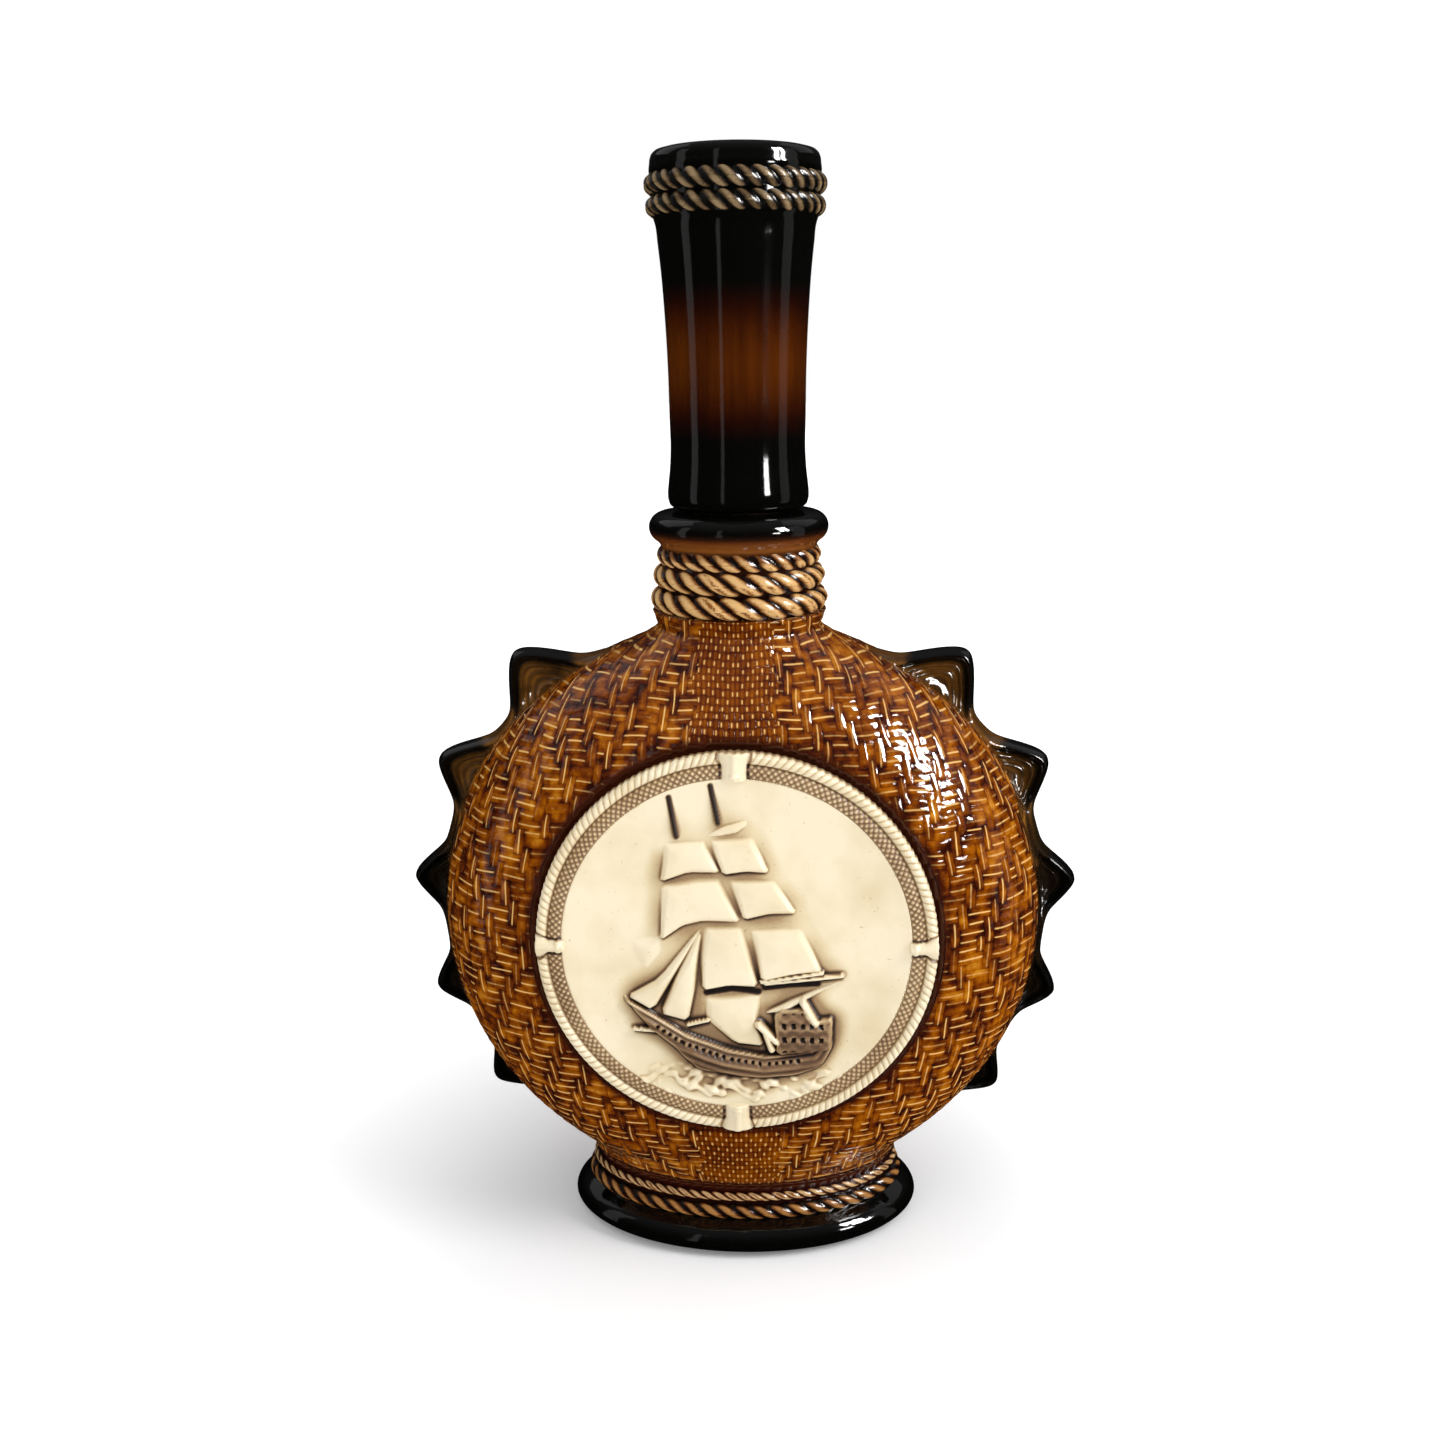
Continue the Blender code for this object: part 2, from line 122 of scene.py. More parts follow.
# Medallion.
MEDAL_Z = 0.5 * (MEDAL_LOW[2] + MEDAL_HIGH[2])
MEDAL_BACK_Y = MEDAL_HIGH[1]
MEDAL_FIELD_Y = -37.6
SHIP_R = 43.0
SHIP_GRID = 290                     # points along each side of the picture
RIM_ROPE_R = 47.95                  # middle of the cream rope round the medallion
RIM_ROPE_HALF = 1.4
RIM_COLUMNS = 1380
RIM_LOBES = 164.0                   # its turns
BRAID_R = 44.45                     # middle of the brown braid inside it
BRAID_HALF = 2.2
BRAID_BEADS = 172.0
POCKET_R = 50.8
POOL_R = (54.5, 51.3)               # where the dark glaze round the pocket starts and is full
POCKET_FLOOR_Y = -33.6
LIP_COLUMNS = 420
# Rim of the pocket: radius, depth, and 1 if the depth is from the pocket's floor and not from the face.
LIP_SECTION = ((51.9, 0.6, 0), (51.6, 0.05, 0), (51.4, -0.12, 0), (51.15, -0.14, 0), (50.95, 0.04, 0),
               (50.78, 0.5, 0), (50.7, 0.0, 1), (50.7, 1.2, 1), (52.6, 1.2, 1))

# Fins on the rim.
FIN_DEGREES = (-37.6, -17.0, 4.2, 26.3, 49.0)
FIN_CENTRE_Z = 92.4
FIN_TIP_R = 88.5
FIN_TIP_ROUND = 2.4
FIN_FOOT_BLEND = 1.6
FLANGE_PROUD = 1.6
FLANGE_SPAN = (-60.0, 74.0)
FLANGE_ROWS = 460

# Rope rings: height, crest radius or outset, tube radius, lobes round the ring.
NECK_ROPES = ((172.9, 22.6, 3.0, 21), (178.7, 21.9, 2.9, 21), (183.9, 20.9, 2.5, 26))
FOOT_ROPES = ((11.2, -0.8, 1.95, 46), (15.3, -2.1, 1.2, 66))
STOPPER_ROPES = ((267.1, 21.7, 2.5, 32), (272.1, 22.0, 2.6, 32))
ROPE_STRANDS = 3


# ---- numbers and formulas
def plug(tree, value, slot):
    """Feed a shader input with another node's output or with a fixed value."""
    value = getattr(value, "socket", value)
    if isinstance(value, bpy.types.NodeSocket):
        tree.links.new(value, slot)
    else:
        slot.default_value = value


def add_node(tree, kind, inputs, **settings):
    """Add one shader node, and give its outputs."""
    node = tree.nodes.new("ShaderNode" + kind)
    for name, value in settings.items():
        setattr(node, name, value)
    for key, value in inputs.items():
        plug(tree, value, node.inputs[key])
    return node.outputs


def add_ramp(tree, value, stops):
    """Colour read from (position, shader colour) stops."""
    node = tree.nodes.new("ShaderNodeValToRGB")
    elements = node.color_ramp.elements
    while len(elements) < len(stops):
        elements.new(0.5)
    for element, (position, colour) in zip(elements, stops):
        element.position = position
        element.color = colour
    plug(tree, value, node.inputs[0])
    return node.outputs[0]


class Field:
    """A number worked out by shader nodes, written like ordinary arithmetic."""

    def __init__(self, tree, socket):
        self.tree = tree
        self.socket = socket

    def math(self, operation, *others):
        inputs = dict(enumerate((self,) + others))
        return Field(self.tree, add_node(self.tree, "Math", inputs, operation=operation)[0])

    def __add__(self, other):
        return self.math("ADD", other)

    def __sub__(self, other):
        return self.math("SUBTRACT", other)

    def __rsub__(self, other):
        return (self * -1.0) + other

    def __mul__(self, other):
        return self.math("MULTIPLY", other)

    def __truediv__(self, other):
        return self.math("DIVIDE", other)

    def __mod__(self, other):
        return self.math("FLOORED_MODULO", other)

    __radd__ = __add__
    __rmul__ = __mul__


def either(name, numpy_function):
    """One function that works on arrays and on shader fields alike."""
    def apply(first, *others):
        if isinstance(first, Field):
            return first.math(name, *others)
        return numpy_function(first, *others)
    return apply


whole = either("FLOOR", np.floor)
size = either("ABSOLUTE", np.abs)
least = either("MINIMUM", np.minimum)
most = either("MAXIMUM", np.maximum)
power = either("POWER", np.power)
below = either("LESS_THAN", lambda a, b: (a < b) * 1.0)


def mix(a, b, share):
    return a + (b - a) * share


def clamp(x, low=0.0, high=1.0):
    return least(most(x, low), high)


def ramp_up(x, start, end):
    """0 before start, 1 after end, smooth between; start may be the larger."""
    t = clamp((x - start) / (end - start))
    return t * t * (3.0 - 2.0 * t)


def smooth_curve(x, points):
    """Cubic curve through (x, y) points, read at x."""
    xs, ys = np.array(points, float).T
    slope = np.gradient(ys, xs)
    k = clamp(np.searchsorted(xs, x) - 1, 0, len(xs) - 2)
    gap = xs[k + 1] - xs[k]
    t = clamp((x - xs[k]) / gap)
    rise = ys[k] * (1 + 2 * t) * (1 - t) ** 2 + ys[k + 1] * t * t * (3 - 2 * t)
    return rise + gap * (slope[k] * t * (1 - t) ** 2 - slope[k + 1] * t * t * (1 - t))


def weave(u, v):
    """Woven relief at a place: height, dip, crest line, two numbers naming the strip, and panel."""
    v = size(v)
    column = whole(u / STRIP_W)
    row = whole(v / STRIP_H)
    folded = column % (2.0 * ZIGZAG)
    climb = least(folded, folded * -1.0 + 2.0 * ZIGZAG) * STEP
    turn = (climb + row) % REPEAT
    upright = below(turn, FLOAT_UP)
    in_column = u / STRIP_W - column
    in_row = v / STRIP_H - row
    columns_long = turn % 2.0 + 2.0
    passed = whole((turn - FLOAT_UP) * 0.5)
    passed = mix(columns_long - 1.0 - passed, passed, below(folded, ZIGZAG))
    along = mix((passed + in_column) / columns_long, (turn + in_row) * (1.0 / FLOAT_UP), upright)
    across = mix(in_row, in_column, upright)
    width = mix(STRIP_H, STRIP_W, upright)

    small_column = whole(u / PANEL_W)
    small_row = whole(v / PANEL_H)
    small_upright = (small_column + small_row) % 2.0
    in_small_column = u / PANEL_W - small_column
    in_small_row = v / PANEL_H - small_row
    panel = below(u, PANEL_HALF + PANEL_W * (whole(v / (3.0 * PANEL_H)) % 2.0))
    along = mix(along, mix(in_small_column, in_small_row, small_upright), panel)
    across = mix(across, mix(in_small_row, in_small_column, small_upright), panel)
    width = mix(width, PANEL_W, panel)

    arch = 1.0 - power(size(clamp(along) * 2.0 - 1.0), mix(4.0, 2.0, panel))
    cross = 1.0 - power(size(across * 2.0 - 1.0), 2.6)
    height = (0.45 + 0.55 * arch) * cross
    crest = clamp(1.3 - size(across - 0.5) * width / CREST_HALF) * clamp(arch * 1.8 - 0.3)
    dot = clamp(1.7 - size(along - 0.5) * 4.6) * small_upright
    crest = crest * mix(1.0, dot, panel)
    name_a = mix(mix(row, column, upright), small_column + 50.0, panel)
    name_b = mix(whole((climb + row) / REPEAT) + upright * 17.0, small_row, panel)
    return height, 1.0 - arch, crest, name_a, name_b, panel


# ---- meshes
def put(name, data):
    """A new object in the scene."""
    obj = bpy.data.objects.new(name, data)
    bpy.context.scene.collection.objects.link(obj)
    return obj


def outward(points, quads, triangles):
    """Flip every face if the closed shape is inside out."""
    corners = np.concatenate([quads[:, :3], quads[:, [0, 2, 3]], triangles])
    a, b, c = (points[corners[:, k]] for k in range(3))
    if np.einsum("ij,ij->i", a, np.cross(b, c)).sum() < 0.0:
        return quads[:, ::-1], triangles[:, ::-1]
    return quads, triangles


def make_piece(name, points, quads, triangles, fields):
    quads, triangles = outward(points, quads, triangles)
    corners = np.concatenate([quads.ravel(), triangles.ravel()]).astype(np.int32)
    sizes = np.concatenate([np.full(len(quads), 4), np.full(len(triangles), 3)])
    starts = (np.cumsum(sizes) - sizes).astype(np.int32)
    mesh = bpy.data.meshes.new(name)
    mesh.vertices.add(len(points))
    mesh.vertices.foreach_set("co", (points * MM).astype(np.float32).ravel())
    mesh.loops.add(len(corners))
    mesh.loops.foreach_set("vertex_index", corners)
    mesh.polygons.add(len(sizes))
    mesh.polygons.foreach_set("loop_start", starts)
    mesh.update(calc_edges=True)
    mesh.validate()
    mesh.shade_smooth()
    for field, values in fields.items():
        values = np.asarray(values, np.float32)
        kind, key = ("FLOAT", "value") if values.ndim == 1 else ("FLOAT_VECTOR", "vector")
        mesh.attributes.new(field, kind, "POINT").data.foreach_set(key, values.ravel())
    return put(name, mesh)


def skin(name, rings, fields=None, closed_path=False):
    """Mesh through successive closed rings, with a fan over each open end."""
    rows, columns = rings.shape[:2]
    points = rings.reshape(-1, 3)
    fields = {key: value.reshape((-1,) + value.shape[2:]) for key, value in (fields or {}).items()}
    this = np.arange(rows if closed_path else rows - 1)[:, None] * columns
    following = (this + columns) % (rows * columns)
    j = np.arange(columns)[None, :]
    k = (j + 1) % columns
    quads = np.stack([this + j, this + k, following + k, following + j], -1).reshape(-1, 4)
    triangles = np.zeros((0, 3), int)
    if not closed_path:
        first = len(points)
        points = np.concatenate([points, rings[0].mean(0)[None], rings[-1].mean(0)[None]])
        for key, value in fields.items():
            ends = np.stack([value[:columns].mean(0), value[-columns:].mean(0)])
            fields[key] = np.concatenate([value, ends])
        low = np.stack([k[0], j[0], np.full(columns, first)], -1)
        last = (rows - 1) * columns
        high = np.stack([j[0] + last, k[0] + last, np.full(columns, first + 1)], -1)
        triangles = np.concatenate([low, high])
    return make_piece(name, points, quads, triangles, fields)


def settle(piece, body, slot, material, *nodes):
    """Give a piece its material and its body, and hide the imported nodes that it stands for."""
    piece.data.materials.append(material)
    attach(piece, body)
    if nodes:
        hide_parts(*nodes)
    return piece


def points_at(x, y, z):
    return np.stack(np.broadcast_arrays(x, y, z), -1)


def ring_angles(count):
    return np.arange(count) * (TURN / count)


def turned(name, profile, columns):
    """Solid of revolution about Z through (height, radius) points."""
    heights, radii = np.array(profile, float).T[:, :, None]
    return skin(name, ring_at(heights, radii, ring_angles(columns)))


# ---- flask surface
def disc_reach(z, angle, rx, rz, depth):
    """Distance from the Z axis to the disc's surface at a height and bearing."""
    rise = z - DISC_Z
    v = np.abs(rise) / np.where(rise > 0.0, rz[0], rz[1])
    c, s = np.abs(np.cos(angle)), np.abs(np.sin(angle))
    low = np.zeros(np.broadcast(z, angle).shape)
    high = low + rx * 1.01
    for _ in range(HALVINGS):
        middle = 0.5 * (low + high)
        value = np.hypot(middle * c / rx, v) ** FACE_POWER + (middle * s / depth) ** EDGE_POWER
        low, high = np.where(value < 1.0, middle, low), np.where(value < 1.0, high, middle)
    return np.where(v < 1.0, low, 0.0)


def oval_reach(angle, a, b):
    return a * b / np.hypot(b * np.cos(angle), a * np.sin(angle))


def smooth_max(a, b, blend):
    joined = 0.5 * (a + b + np.sqrt((a - b) ** 2 + blend ** 2))
    return np.where(np.minimum(a, b) > 0.0, joined, np.maximum(a, b))


def neck_reach(z):
    below_ropes = NECK_CORE_R + 1.9 - 0.35 * (ROPES_FROM - z)
    return np.where(z < ROPES_FROM, below_ropes, np.where(z < 186.6, NECK_CORE_R - 0.5, NECK_CORE_R - 0.2))


def foot_reach(z, angle):
    outset = smooth_curve(z, FOOT_CURVE)
    return oval_reach(angle, *(np.maximum(half + outset, 1.0) for half in FOOT_BASE))


def flask_reach(z, angle):
    disc = disc_reach(z, angle, DISC_RX, DISC_RZ, DISC_DEPTH)
    upper = z > 120.0
    other = np.where(upper, neck_reach(z), foot_reach(np.minimum(z, 44.0), angle))
    width = np.where(upper, NECK_BLEND, FOOT_BLEND * clamp((z - 16.0) / 6.0))
    return smooth_max(disc, other, width * np.minimum(1.0, disc / FADE))


def cavity_reach(z, angle):
    shrink = 0.9 * np.maximum(0.0, z - 22.0) + 2.0 * clamp(1.0 - (z - FLOOR_Z) / 3.0)
    well = oval_reach(angle, *(np.maximum(half - shrink, 4.0) for half in CAVITY_FOOT))
    disc = disc_reach(z, angle, DISC_RX - WALL, [half - WALL for half in DISC_RZ], CAVITY_DEPTH)
    return smooth_max(disc, np.where(z > DISC_Z, BORE_R, well), FOOT_BLEND * np.minimum(1.0, disc / FADE))


def face_y(x, z):
    """Depth of the flask's front face at a place beside the medallion."""
    rise = z - DISC_Z
    rho = np.hypot(x / DISC_RX, rise / np.where(rise > 0.0, DISC_RZ[0], DISC_RZ[1]))
    return -DISC_DEPTH * np.maximum(1.0 - rho ** FACE_POWER, 0.0) ** (1.0 / EDGE_POWER)


def flask_angles():
    even = -0.5 * math.pi + ring_angles(COLUMNS)
    crowded = even - FRONT_BIAS * np.cos(even)
    wide, deep = SPACING_OVAL
    return np.arctan2(deep * np.sin(crowded), wide * np.cos(crowded))


def front_path(z):
    """Length along the front profile from the disc's centre to height z."""
    dense = np.linspace(0.0, 200.0, 2001)
    out = flask_reach(dense, np.full_like(dense, -0.5 * math.pi))
    step = np.hypot(np.diff(dense), np.diff(out))
    path = np.concatenate([[0.0], np.cumsum(step)])
    return np.interp(z, dense, path) - np.interp(DISC_Z, dense, path), dense, path


def body_heights():
    _, dense, path = front_path(0.0)
    start, end = np.interp(BODY_Z, dense, path)
    return np.interp(np.linspace(start, end, int((end - start) / ROW_STEP)), path, dense)


def ring_at(z, reach, angle, shift=0.0):
    return points_at(reach * np.cos(angle), reach * np.sin(angle) + shift, z)


def flask_rings(angle):
    """Sections of the vessel: underside, foot, body, neck, collar, lip with bore, and cavity."""
    column = angle[None, :]
    share, rise = np.array(UNDERSIDE).T[:, :, None]
    foot = np.concatenate([np.linspace(0.0, 0.9, 4), np.arange(1.3, 9.6, 0.48), np.arange(10.2, 19.8, 1.2)])
    foot = foot[:, None]
    body = body_heights()[:, None]
    neck = np.array(NECK_HEIGHTS)[:, None]
    swing = np.radians(np.linspace(-62.0, 84.0, 18))[:, None]
    bead_z, bead_r = COLLAR_Z + COLLAR_BEAD_R * np.sin(swing), COLLAR_R + COLLAR_BEAD_R * np.cos(swing)
    lip_z, lip_r = np.array(LIP_CURVE).T[:, :, None]
    inside = np.array(INSIDE_HEIGHTS)[:, None]
    closeness = clamp(1.0 - np.abs(inside - DISC_Z) / (DISC_RZ[0] - WALL))
    shift = CAVITY_SHIFT * np.minimum(1.0, 3.0 * closeness)
    return [ring_at(rise, share * foot_reach(0.0, column), column),
            ring_at(foot, foot_reach(foot, column), column),
            ring_at(body, flask_reach(body, column), column),
            ring_at(neck, neck_reach(neck), column),
            ring_at(bead_z, bead_r, column),
            ring_at(lip_z, lip_r, column),
            ring_at(inside, cavity_reach(inside, column), column, shift)]


def surface_normals(rings):
    """Outward unit normals of a stack of rings, from neighbouring points."""
    along = np.roll(rings, -1, 1) - np.roll(rings, 1, 1)
    up = np.gradient(rings, axis=0)
    normal = np.cross(along, up)
    return normal / np.maximum(np.linalg.norm(normal, axis=-1, keepdims=True), 1e-9)


def weave_places(rings):
    """Place of each point in the weave: mm round from the nearest centre line, mm up the front."""
    flat = rings[:, :, :2]
    step = np.linalg.norm(np.roll(flat, -1, 1) - flat, axis=-1)
    around = np.concatenate([np.zeros((len(rings), 1)), np.cumsum(step, 1)[:, :-1]], 1)
    total = step.sum(1, keepdims=True)
    around = np.minimum(around, total - around)
    around = np.minimum(around, 0.5 * total - around)
    z = rings[:, :, 2]
    u = around * (1.0 + LEAN * ((z - DISC_Z) / 75.0) ** 2)
    v = front_path(z)[0]
    wobble_u = 0.22 * np.sin(v * 0.41 + u * 0.07) + 0.16 * np.sin(u * 0.83 + v * 0.29)
    wobble_v = 0.20 * np.sin(u * 0.37 + 1.1) + 0.14 * np.sin(u * 0.19 + v * 0.71)
    return np.maximum(u + wobble_u * np.minimum(1.0, u / 6.0), 0.0), v + wobble_v


def weave_relief(u, v):
    """Weave height averaged over the ground that one mesh point stands for."""
    total = np.zeros_like(u)
    for du in (-MESH_REACH, 0.0, MESH_REACH):
        for dv in (-MESH_REACH, 0.0, MESH_REACH):
            total += weave(np.abs(u + du), v + dv)[0]
    return total / 9.0


def medal_distance(rings):
    far = np.where(rings[..., 1] < 0.0, 0.0, 200.0)
    return np.hypot(rings[..., 0], rings[..., 2] - MEDAL_Z) + far


def sink_pocket(rings):
    """Press the medallion's round pocket into the front, with a clean round edge."""
    r = medal_distance(rings)
    near = np.abs(r - POCKET_R) < 0.55
    scale = np.where(near, POCKET_R / np.maximum(r, 1.0), 1.0)
    rings[..., 0] *= scale
    rings[..., 2] = MEDAL_Z + (rings[..., 2] - MEDAL_Z) * scale
    inside = (r < POCKET_R) & ~near
    rings[..., 1] = np.where(inside, POCKET_FLOOR_Y, rings[..., 1])
    return rings


def weave_cover(rings):
    """How fully the weave shows; it ends at foot, neck, medallion and the strip that the fins stand on."""
    z = rings[..., 2]
    above, below_shoulder, fade = FIN_STRIP
    strip_half = mix(above, below_shoulder, ramp_up(z, 129.0, 117.0))
    strip = ramp_up(np.abs(rings[..., 1]), strip_half + fade, strip_half)
    strip = strip * ramp_up(z, 20.0, 32.0) * ramp_up(z, 163.0, 152.0)
    beside_medallion = ramp_up(medal_distance(rings), 51.3, 52.5)
    return ramp_up(z, 19.6, 20.6) * ramp_up(z, 170.4, 169.8) * beside_medallion * (1.0 - strip)


def flask(material):
    parts = flask_rings(flask_angles())
    ends = np.cumsum([len(part) for part in parts])
    rings = np.concatenate(parts)
    outside, body = slice(ends[0], ends[3]), slice(ends[1], ends[2])
    u, v, cover, inside, bare = np.zeros((5,) + rings.shape[:2])
    u[outside], v[outside] = weave_places(rings[outside])
    cover[body] = weave_cover(rings)[body]
    pool = ramp_up(medal_distance(rings), *POOL_R)
    lift = RELIEF * (weave_relief(u, v) - MEAN_HEIGHT) * cover
    rings[outside] += surface_normals(rings[outside]) * lift[outside][..., None]
    rings[body] = sink_pocket(rings[body])
    inside[ends[4] + 4:] = 1.0      # unglazed from just inside the lip
    bare[:ends[0]] = 1.0
    fields = {"place": np.stack([u, v, cover], -1), "zone": np.stack([inside, bare, pool], -1)}
    return settle(skin("flask_shell", rings, fields), "bottle", "amber_glaze", material, "bottle_body")


def pocket_lip(material):
    """Smooth glazed rim and wall of the medallion's pocket."""
    a = ring_angles(LIP_COLUMNS)
    rings = []
    for radius, depth, from_floor in LIP_SECTION:
        x, z = radius * np.cos(a), MEDAL_Z + radius * np.sin(a)
        y = np.full_like(a, POCKET_FLOOR_Y + depth) if from_floor else face_y(x, z) + depth
        rings.append(points_at(x, y, z))
    piece = skin("medallion_seat_lip", np.array(rings), {}, closed_path=True)
    return settle(piece, "bottle", "amber_glaze", material, "bottle_body")


# ---- ropes
def rope_section(tube, lobes, per_lobe, rows):
    """Swing round the tube, turn round the ring, tube radius and stored fields of a twisted rope."""
    swing = ring_angles(rows)[:, None]
    around = ring_angles(lobes * per_lobe)[None, :]
    phase = ROPE_STRANDS * swing + lobes * around
    ridge = np.abs(np.cos(0.5 * phase)) ** 0.75
    number = np.floor(phase / TURN + 0.5)
    strand = np.stack([ridge, number, np.cos(swing) + 0.0 * ridge], -1)
    return swing, around, tube * (0.70 + 0.30 * ridge), {"strand": strand}


def round_rope(name, height, crest, tube, lobes, per_lobe):
    swing, around, radius, fields = rope_section(tube, lobes, per_lobe, 34)
    reach = crest - tube + radius * np.cos(swing)
    rings = ring_at(height + radius * np.sin(swing), reach, around)
    return skin(name, rings, fields, closed_path=True)


def oval_rope(name, height, outset, tube, lobes, per_lobe):
    """A twisted rope that follows the foot's oval at even spacing."""
    dense = np.linspace(0.0, TURN, 2001)
    a, b = (half + outset - tube for half in FOOT_BASE)
    steps = np.hypot(np.diff(a * np.cos(dense)), np.diff(b * np.sin(dense)))
    path = np.concatenate([[0.0], np.cumsum(steps)])
    swing, around, radius, fields = rope_section(tube, lobes, per_lobe, 26)
    t = np.interp(around / TURN * path[-1], path, dense)
    nx, ny = np.cos(t) / a, np.sin(t) / b
    out = radius * np.cos(swing) / np.hypot(nx, ny)
    x, y, z = a * np.cos(t) + out * nx, b * np.sin(t) + out * ny, height + radius * np.sin(swing)
    return skin(name, points_at(x, y, z), fields, closed_path=True)


def ropes(neck_material, foot_materials, stopper_material):
    for k, ring in enumerate(NECK_ROPES, 1):
        piece = round_rope(f"neck_rope_{k}", *ring, 20)
        settle(piece, "bottle", "amber_glaze", neck_material, "bottle_body")
    for k, ring in enumerate(FOOT_ROPES, 1):
        piece = oval_rope(f"foot_rope_{k}", *ring, 12)
        settle(piece, "bottle", "amber_glaze", foot_materials[k - 1], "bottle_body")
    for k, ring in enumerate(STOPPER_ROPES, 1):
        piece = round_rope(f"stopper_rope_{k}", *ring, 16)
        settle(piece, "stopper", "black_glaze", stopper_material, "stopper_shell")


# ---- fins
# Flank of a fin: distance in from its tip, half thickness.
FIN_SECTION = ((0.0, 0.0), (0.12, 1.5), (0.5, 2.8), (1.1, 3.8), (1.8, 4.4), (2.5, 4.0), (3.2, 2.7),
               (3.8, 2.3), (4.4, 2.8), (5.0, 3.5), (5.6, 3.0), (6.3, 2.1), (7.0, 2.4), (7.6, 3.1),
               (8.2, 2.6), (9.0, 2.0), (11.4, 2.0))
FIN_INSETS = np.array([0.0, 0.05, 0.12, 0.25, 0.45, 0.7, *np.linspace(1.0, 9.0, 21), 9.6, 10.4, 11.4])
SKIRT_R = np.array([80.4, 79.2, 78.2, 77.2, 76.2, 75.0, 73.0])      # its run in under the weave
SKIRT_INSET = 12.0
SKIRT_HALF = 2.0
SKIRT_FILLET = 5.0


def rim_radius(theta):
    """Distance from the disc's centre to its rim."""
    rz = np.where(theta > 0.0, DISC_RZ[0], DISC_RZ[1])
    return 1.0 / np.hypot(np.cos(theta) / DISC_RX, np.sin(theta) / rz)


def rim_depth(radius, theta):
    """Half depth of the body at a radius, sunk a little where the fin's skirt runs in under the weave."""
    rho = radius / rim_radius(theta)
    sunk = 1.1 * ramp_up(rho, 0.99, 0.955)
    return DISC_DEPTH * np.maximum(1.0 - rho ** FACE_POWER, 0.0) ** (1.0 / EDGE_POWER) - sunk


def fin_outline(theta):
    base = rim_radius(theta) + FLANGE_PROUD
    tip = FIN_TIP_R + (FIN_CENTRE_Z - DISC_Z) * np.sin(theta)
    outline = base.copy()
    for degrees in FIN_DEGREES:
        run = FIN_TIP_R * (theta - math.radians(degrees))
        tall = tip + FIN_TIP_ROUND - np.sqrt(run ** 2 + FIN_TIP_ROUND ** 2) - base
        outline += FIN_FOOT_BLEND * np.log1p(np.exp(np.minimum(tall / FIN_FOOT_BLEND, 40.0)))
    return outline, outline - base


def both_sides(one):
    """Values for one flank, mirrored about the fin's tip."""
    return np.concatenate([one[..., ::-1], one[..., 1:]], -1)


def fins(name, side, material):
    theta = np.radians(np.linspace(*FLANGE_SPAN, FLANGE_ROWS))[:, None]
    tip, tall = fin_outline(theta)
    start, end = theta[0, 0], theta[-1, 0]
    tip = tip - 3.0 * (1.0 - ramp_up(theta, start, start + 0.12) * ramp_up(theta, end, end - 0.30))
    rim = rim_radius(theta)
    more = np.ones(len(SKIRT_R))
    skirt = np.minimum(SKIRT_R / DISC_RX * rim, tip - FIN_INSETS[-1] - 0.2 * np.cumsum(more))
    radius = both_sides(np.concatenate([tip - FIN_INSETS, skirt], 1))
    inset = both_sides(np.concatenate([FIN_INSETS, SKIRT_INSET * more]))
    ridge = both_sides(np.concatenate([smooth_curve(FIN_INSETS, FIN_SECTION), SKIRT_HALF * more]))
    flank = np.sign(np.arange(inset.size) - inset.size // 2)
    body = rim_depth(radius, theta)
    free = ridge + 0.5 * (np.hypot(ridge, SKIRT_FILLET) - ridge) * ramp_up(radius, rim + 3.0, rim)
    half = np.where(body > 0.0, smooth_max(ridge, body, SKIRT_FILLET), free)
    y = flank * half * ramp_up(ridge, -0.2, 0.4)
    rings = points_at(side * radius * np.cos(theta), y, DISC_Z + radius * np.sin(theta))
    piece = skin(name, rings, {"fin": points_at(inset, tall, np.degrees(theta))})
    return settle(piece, "bottle", "black_glaze", material, "bottle_body")


# ---- medallion
def soften(points, cut=0.18, passes=2):
    """Round a closed outline's corners by cutting them."""
    p = np.array(points, float)
    for _ in range(passes):
        q = np.roll(p, -1, 0)
        p = np.stack([p + (q - p) * cut, q - (q - p) * cut], 1).reshape(-1, 2)
    return p


def line_distance(x, z, points):
    """Distance to an open line through the points, and how far along it, from 0 to 1."""
    best = np.full_like(x, 1e9)
    share = np.zeros_like(x)
    points = np.array(points, float)
    lengths = np.linalg.norm(np.diff(points, axis=0), axis=1)
    done = np.concatenate([[0.0], np.cumsum(lengths)])
    for (x0, z0), (x1, z1), start, length in zip(points, points[1:], done, lengths):
        t = clamp(((x - x0) * (x1 - x0) + (z - z0) * (z1 - z0)) / length ** 2)
        d = np.hypot(x - x0 - t * (x1 - x0), z - z0 - t * (z1 - z0))
        share = np.where(d < best, (start + t * length) / done[-1], share)
        best = np.minimum(best, d)
    return best, share


def depth_inside(x, z, outline):
    """Distance inside a closed outline; negative outside."""
    inside = np.zeros(x.shape, bool)
    following = np.roll(outline, -1, 0)
    for (x0, z0), (x1, z1) in zip(outline, following):
        if z0 != z1:
            crosses = (z0 > z) != (z1 > z)
            inside ^= crosses & (x < (x1 - x0) * (z - z0) / (z1 - z0) + x0)
    distance, _ = line_distance(x, z, np.concatenate([outline, outline[:1]]))
    return np.where(inside, distance, -distance)


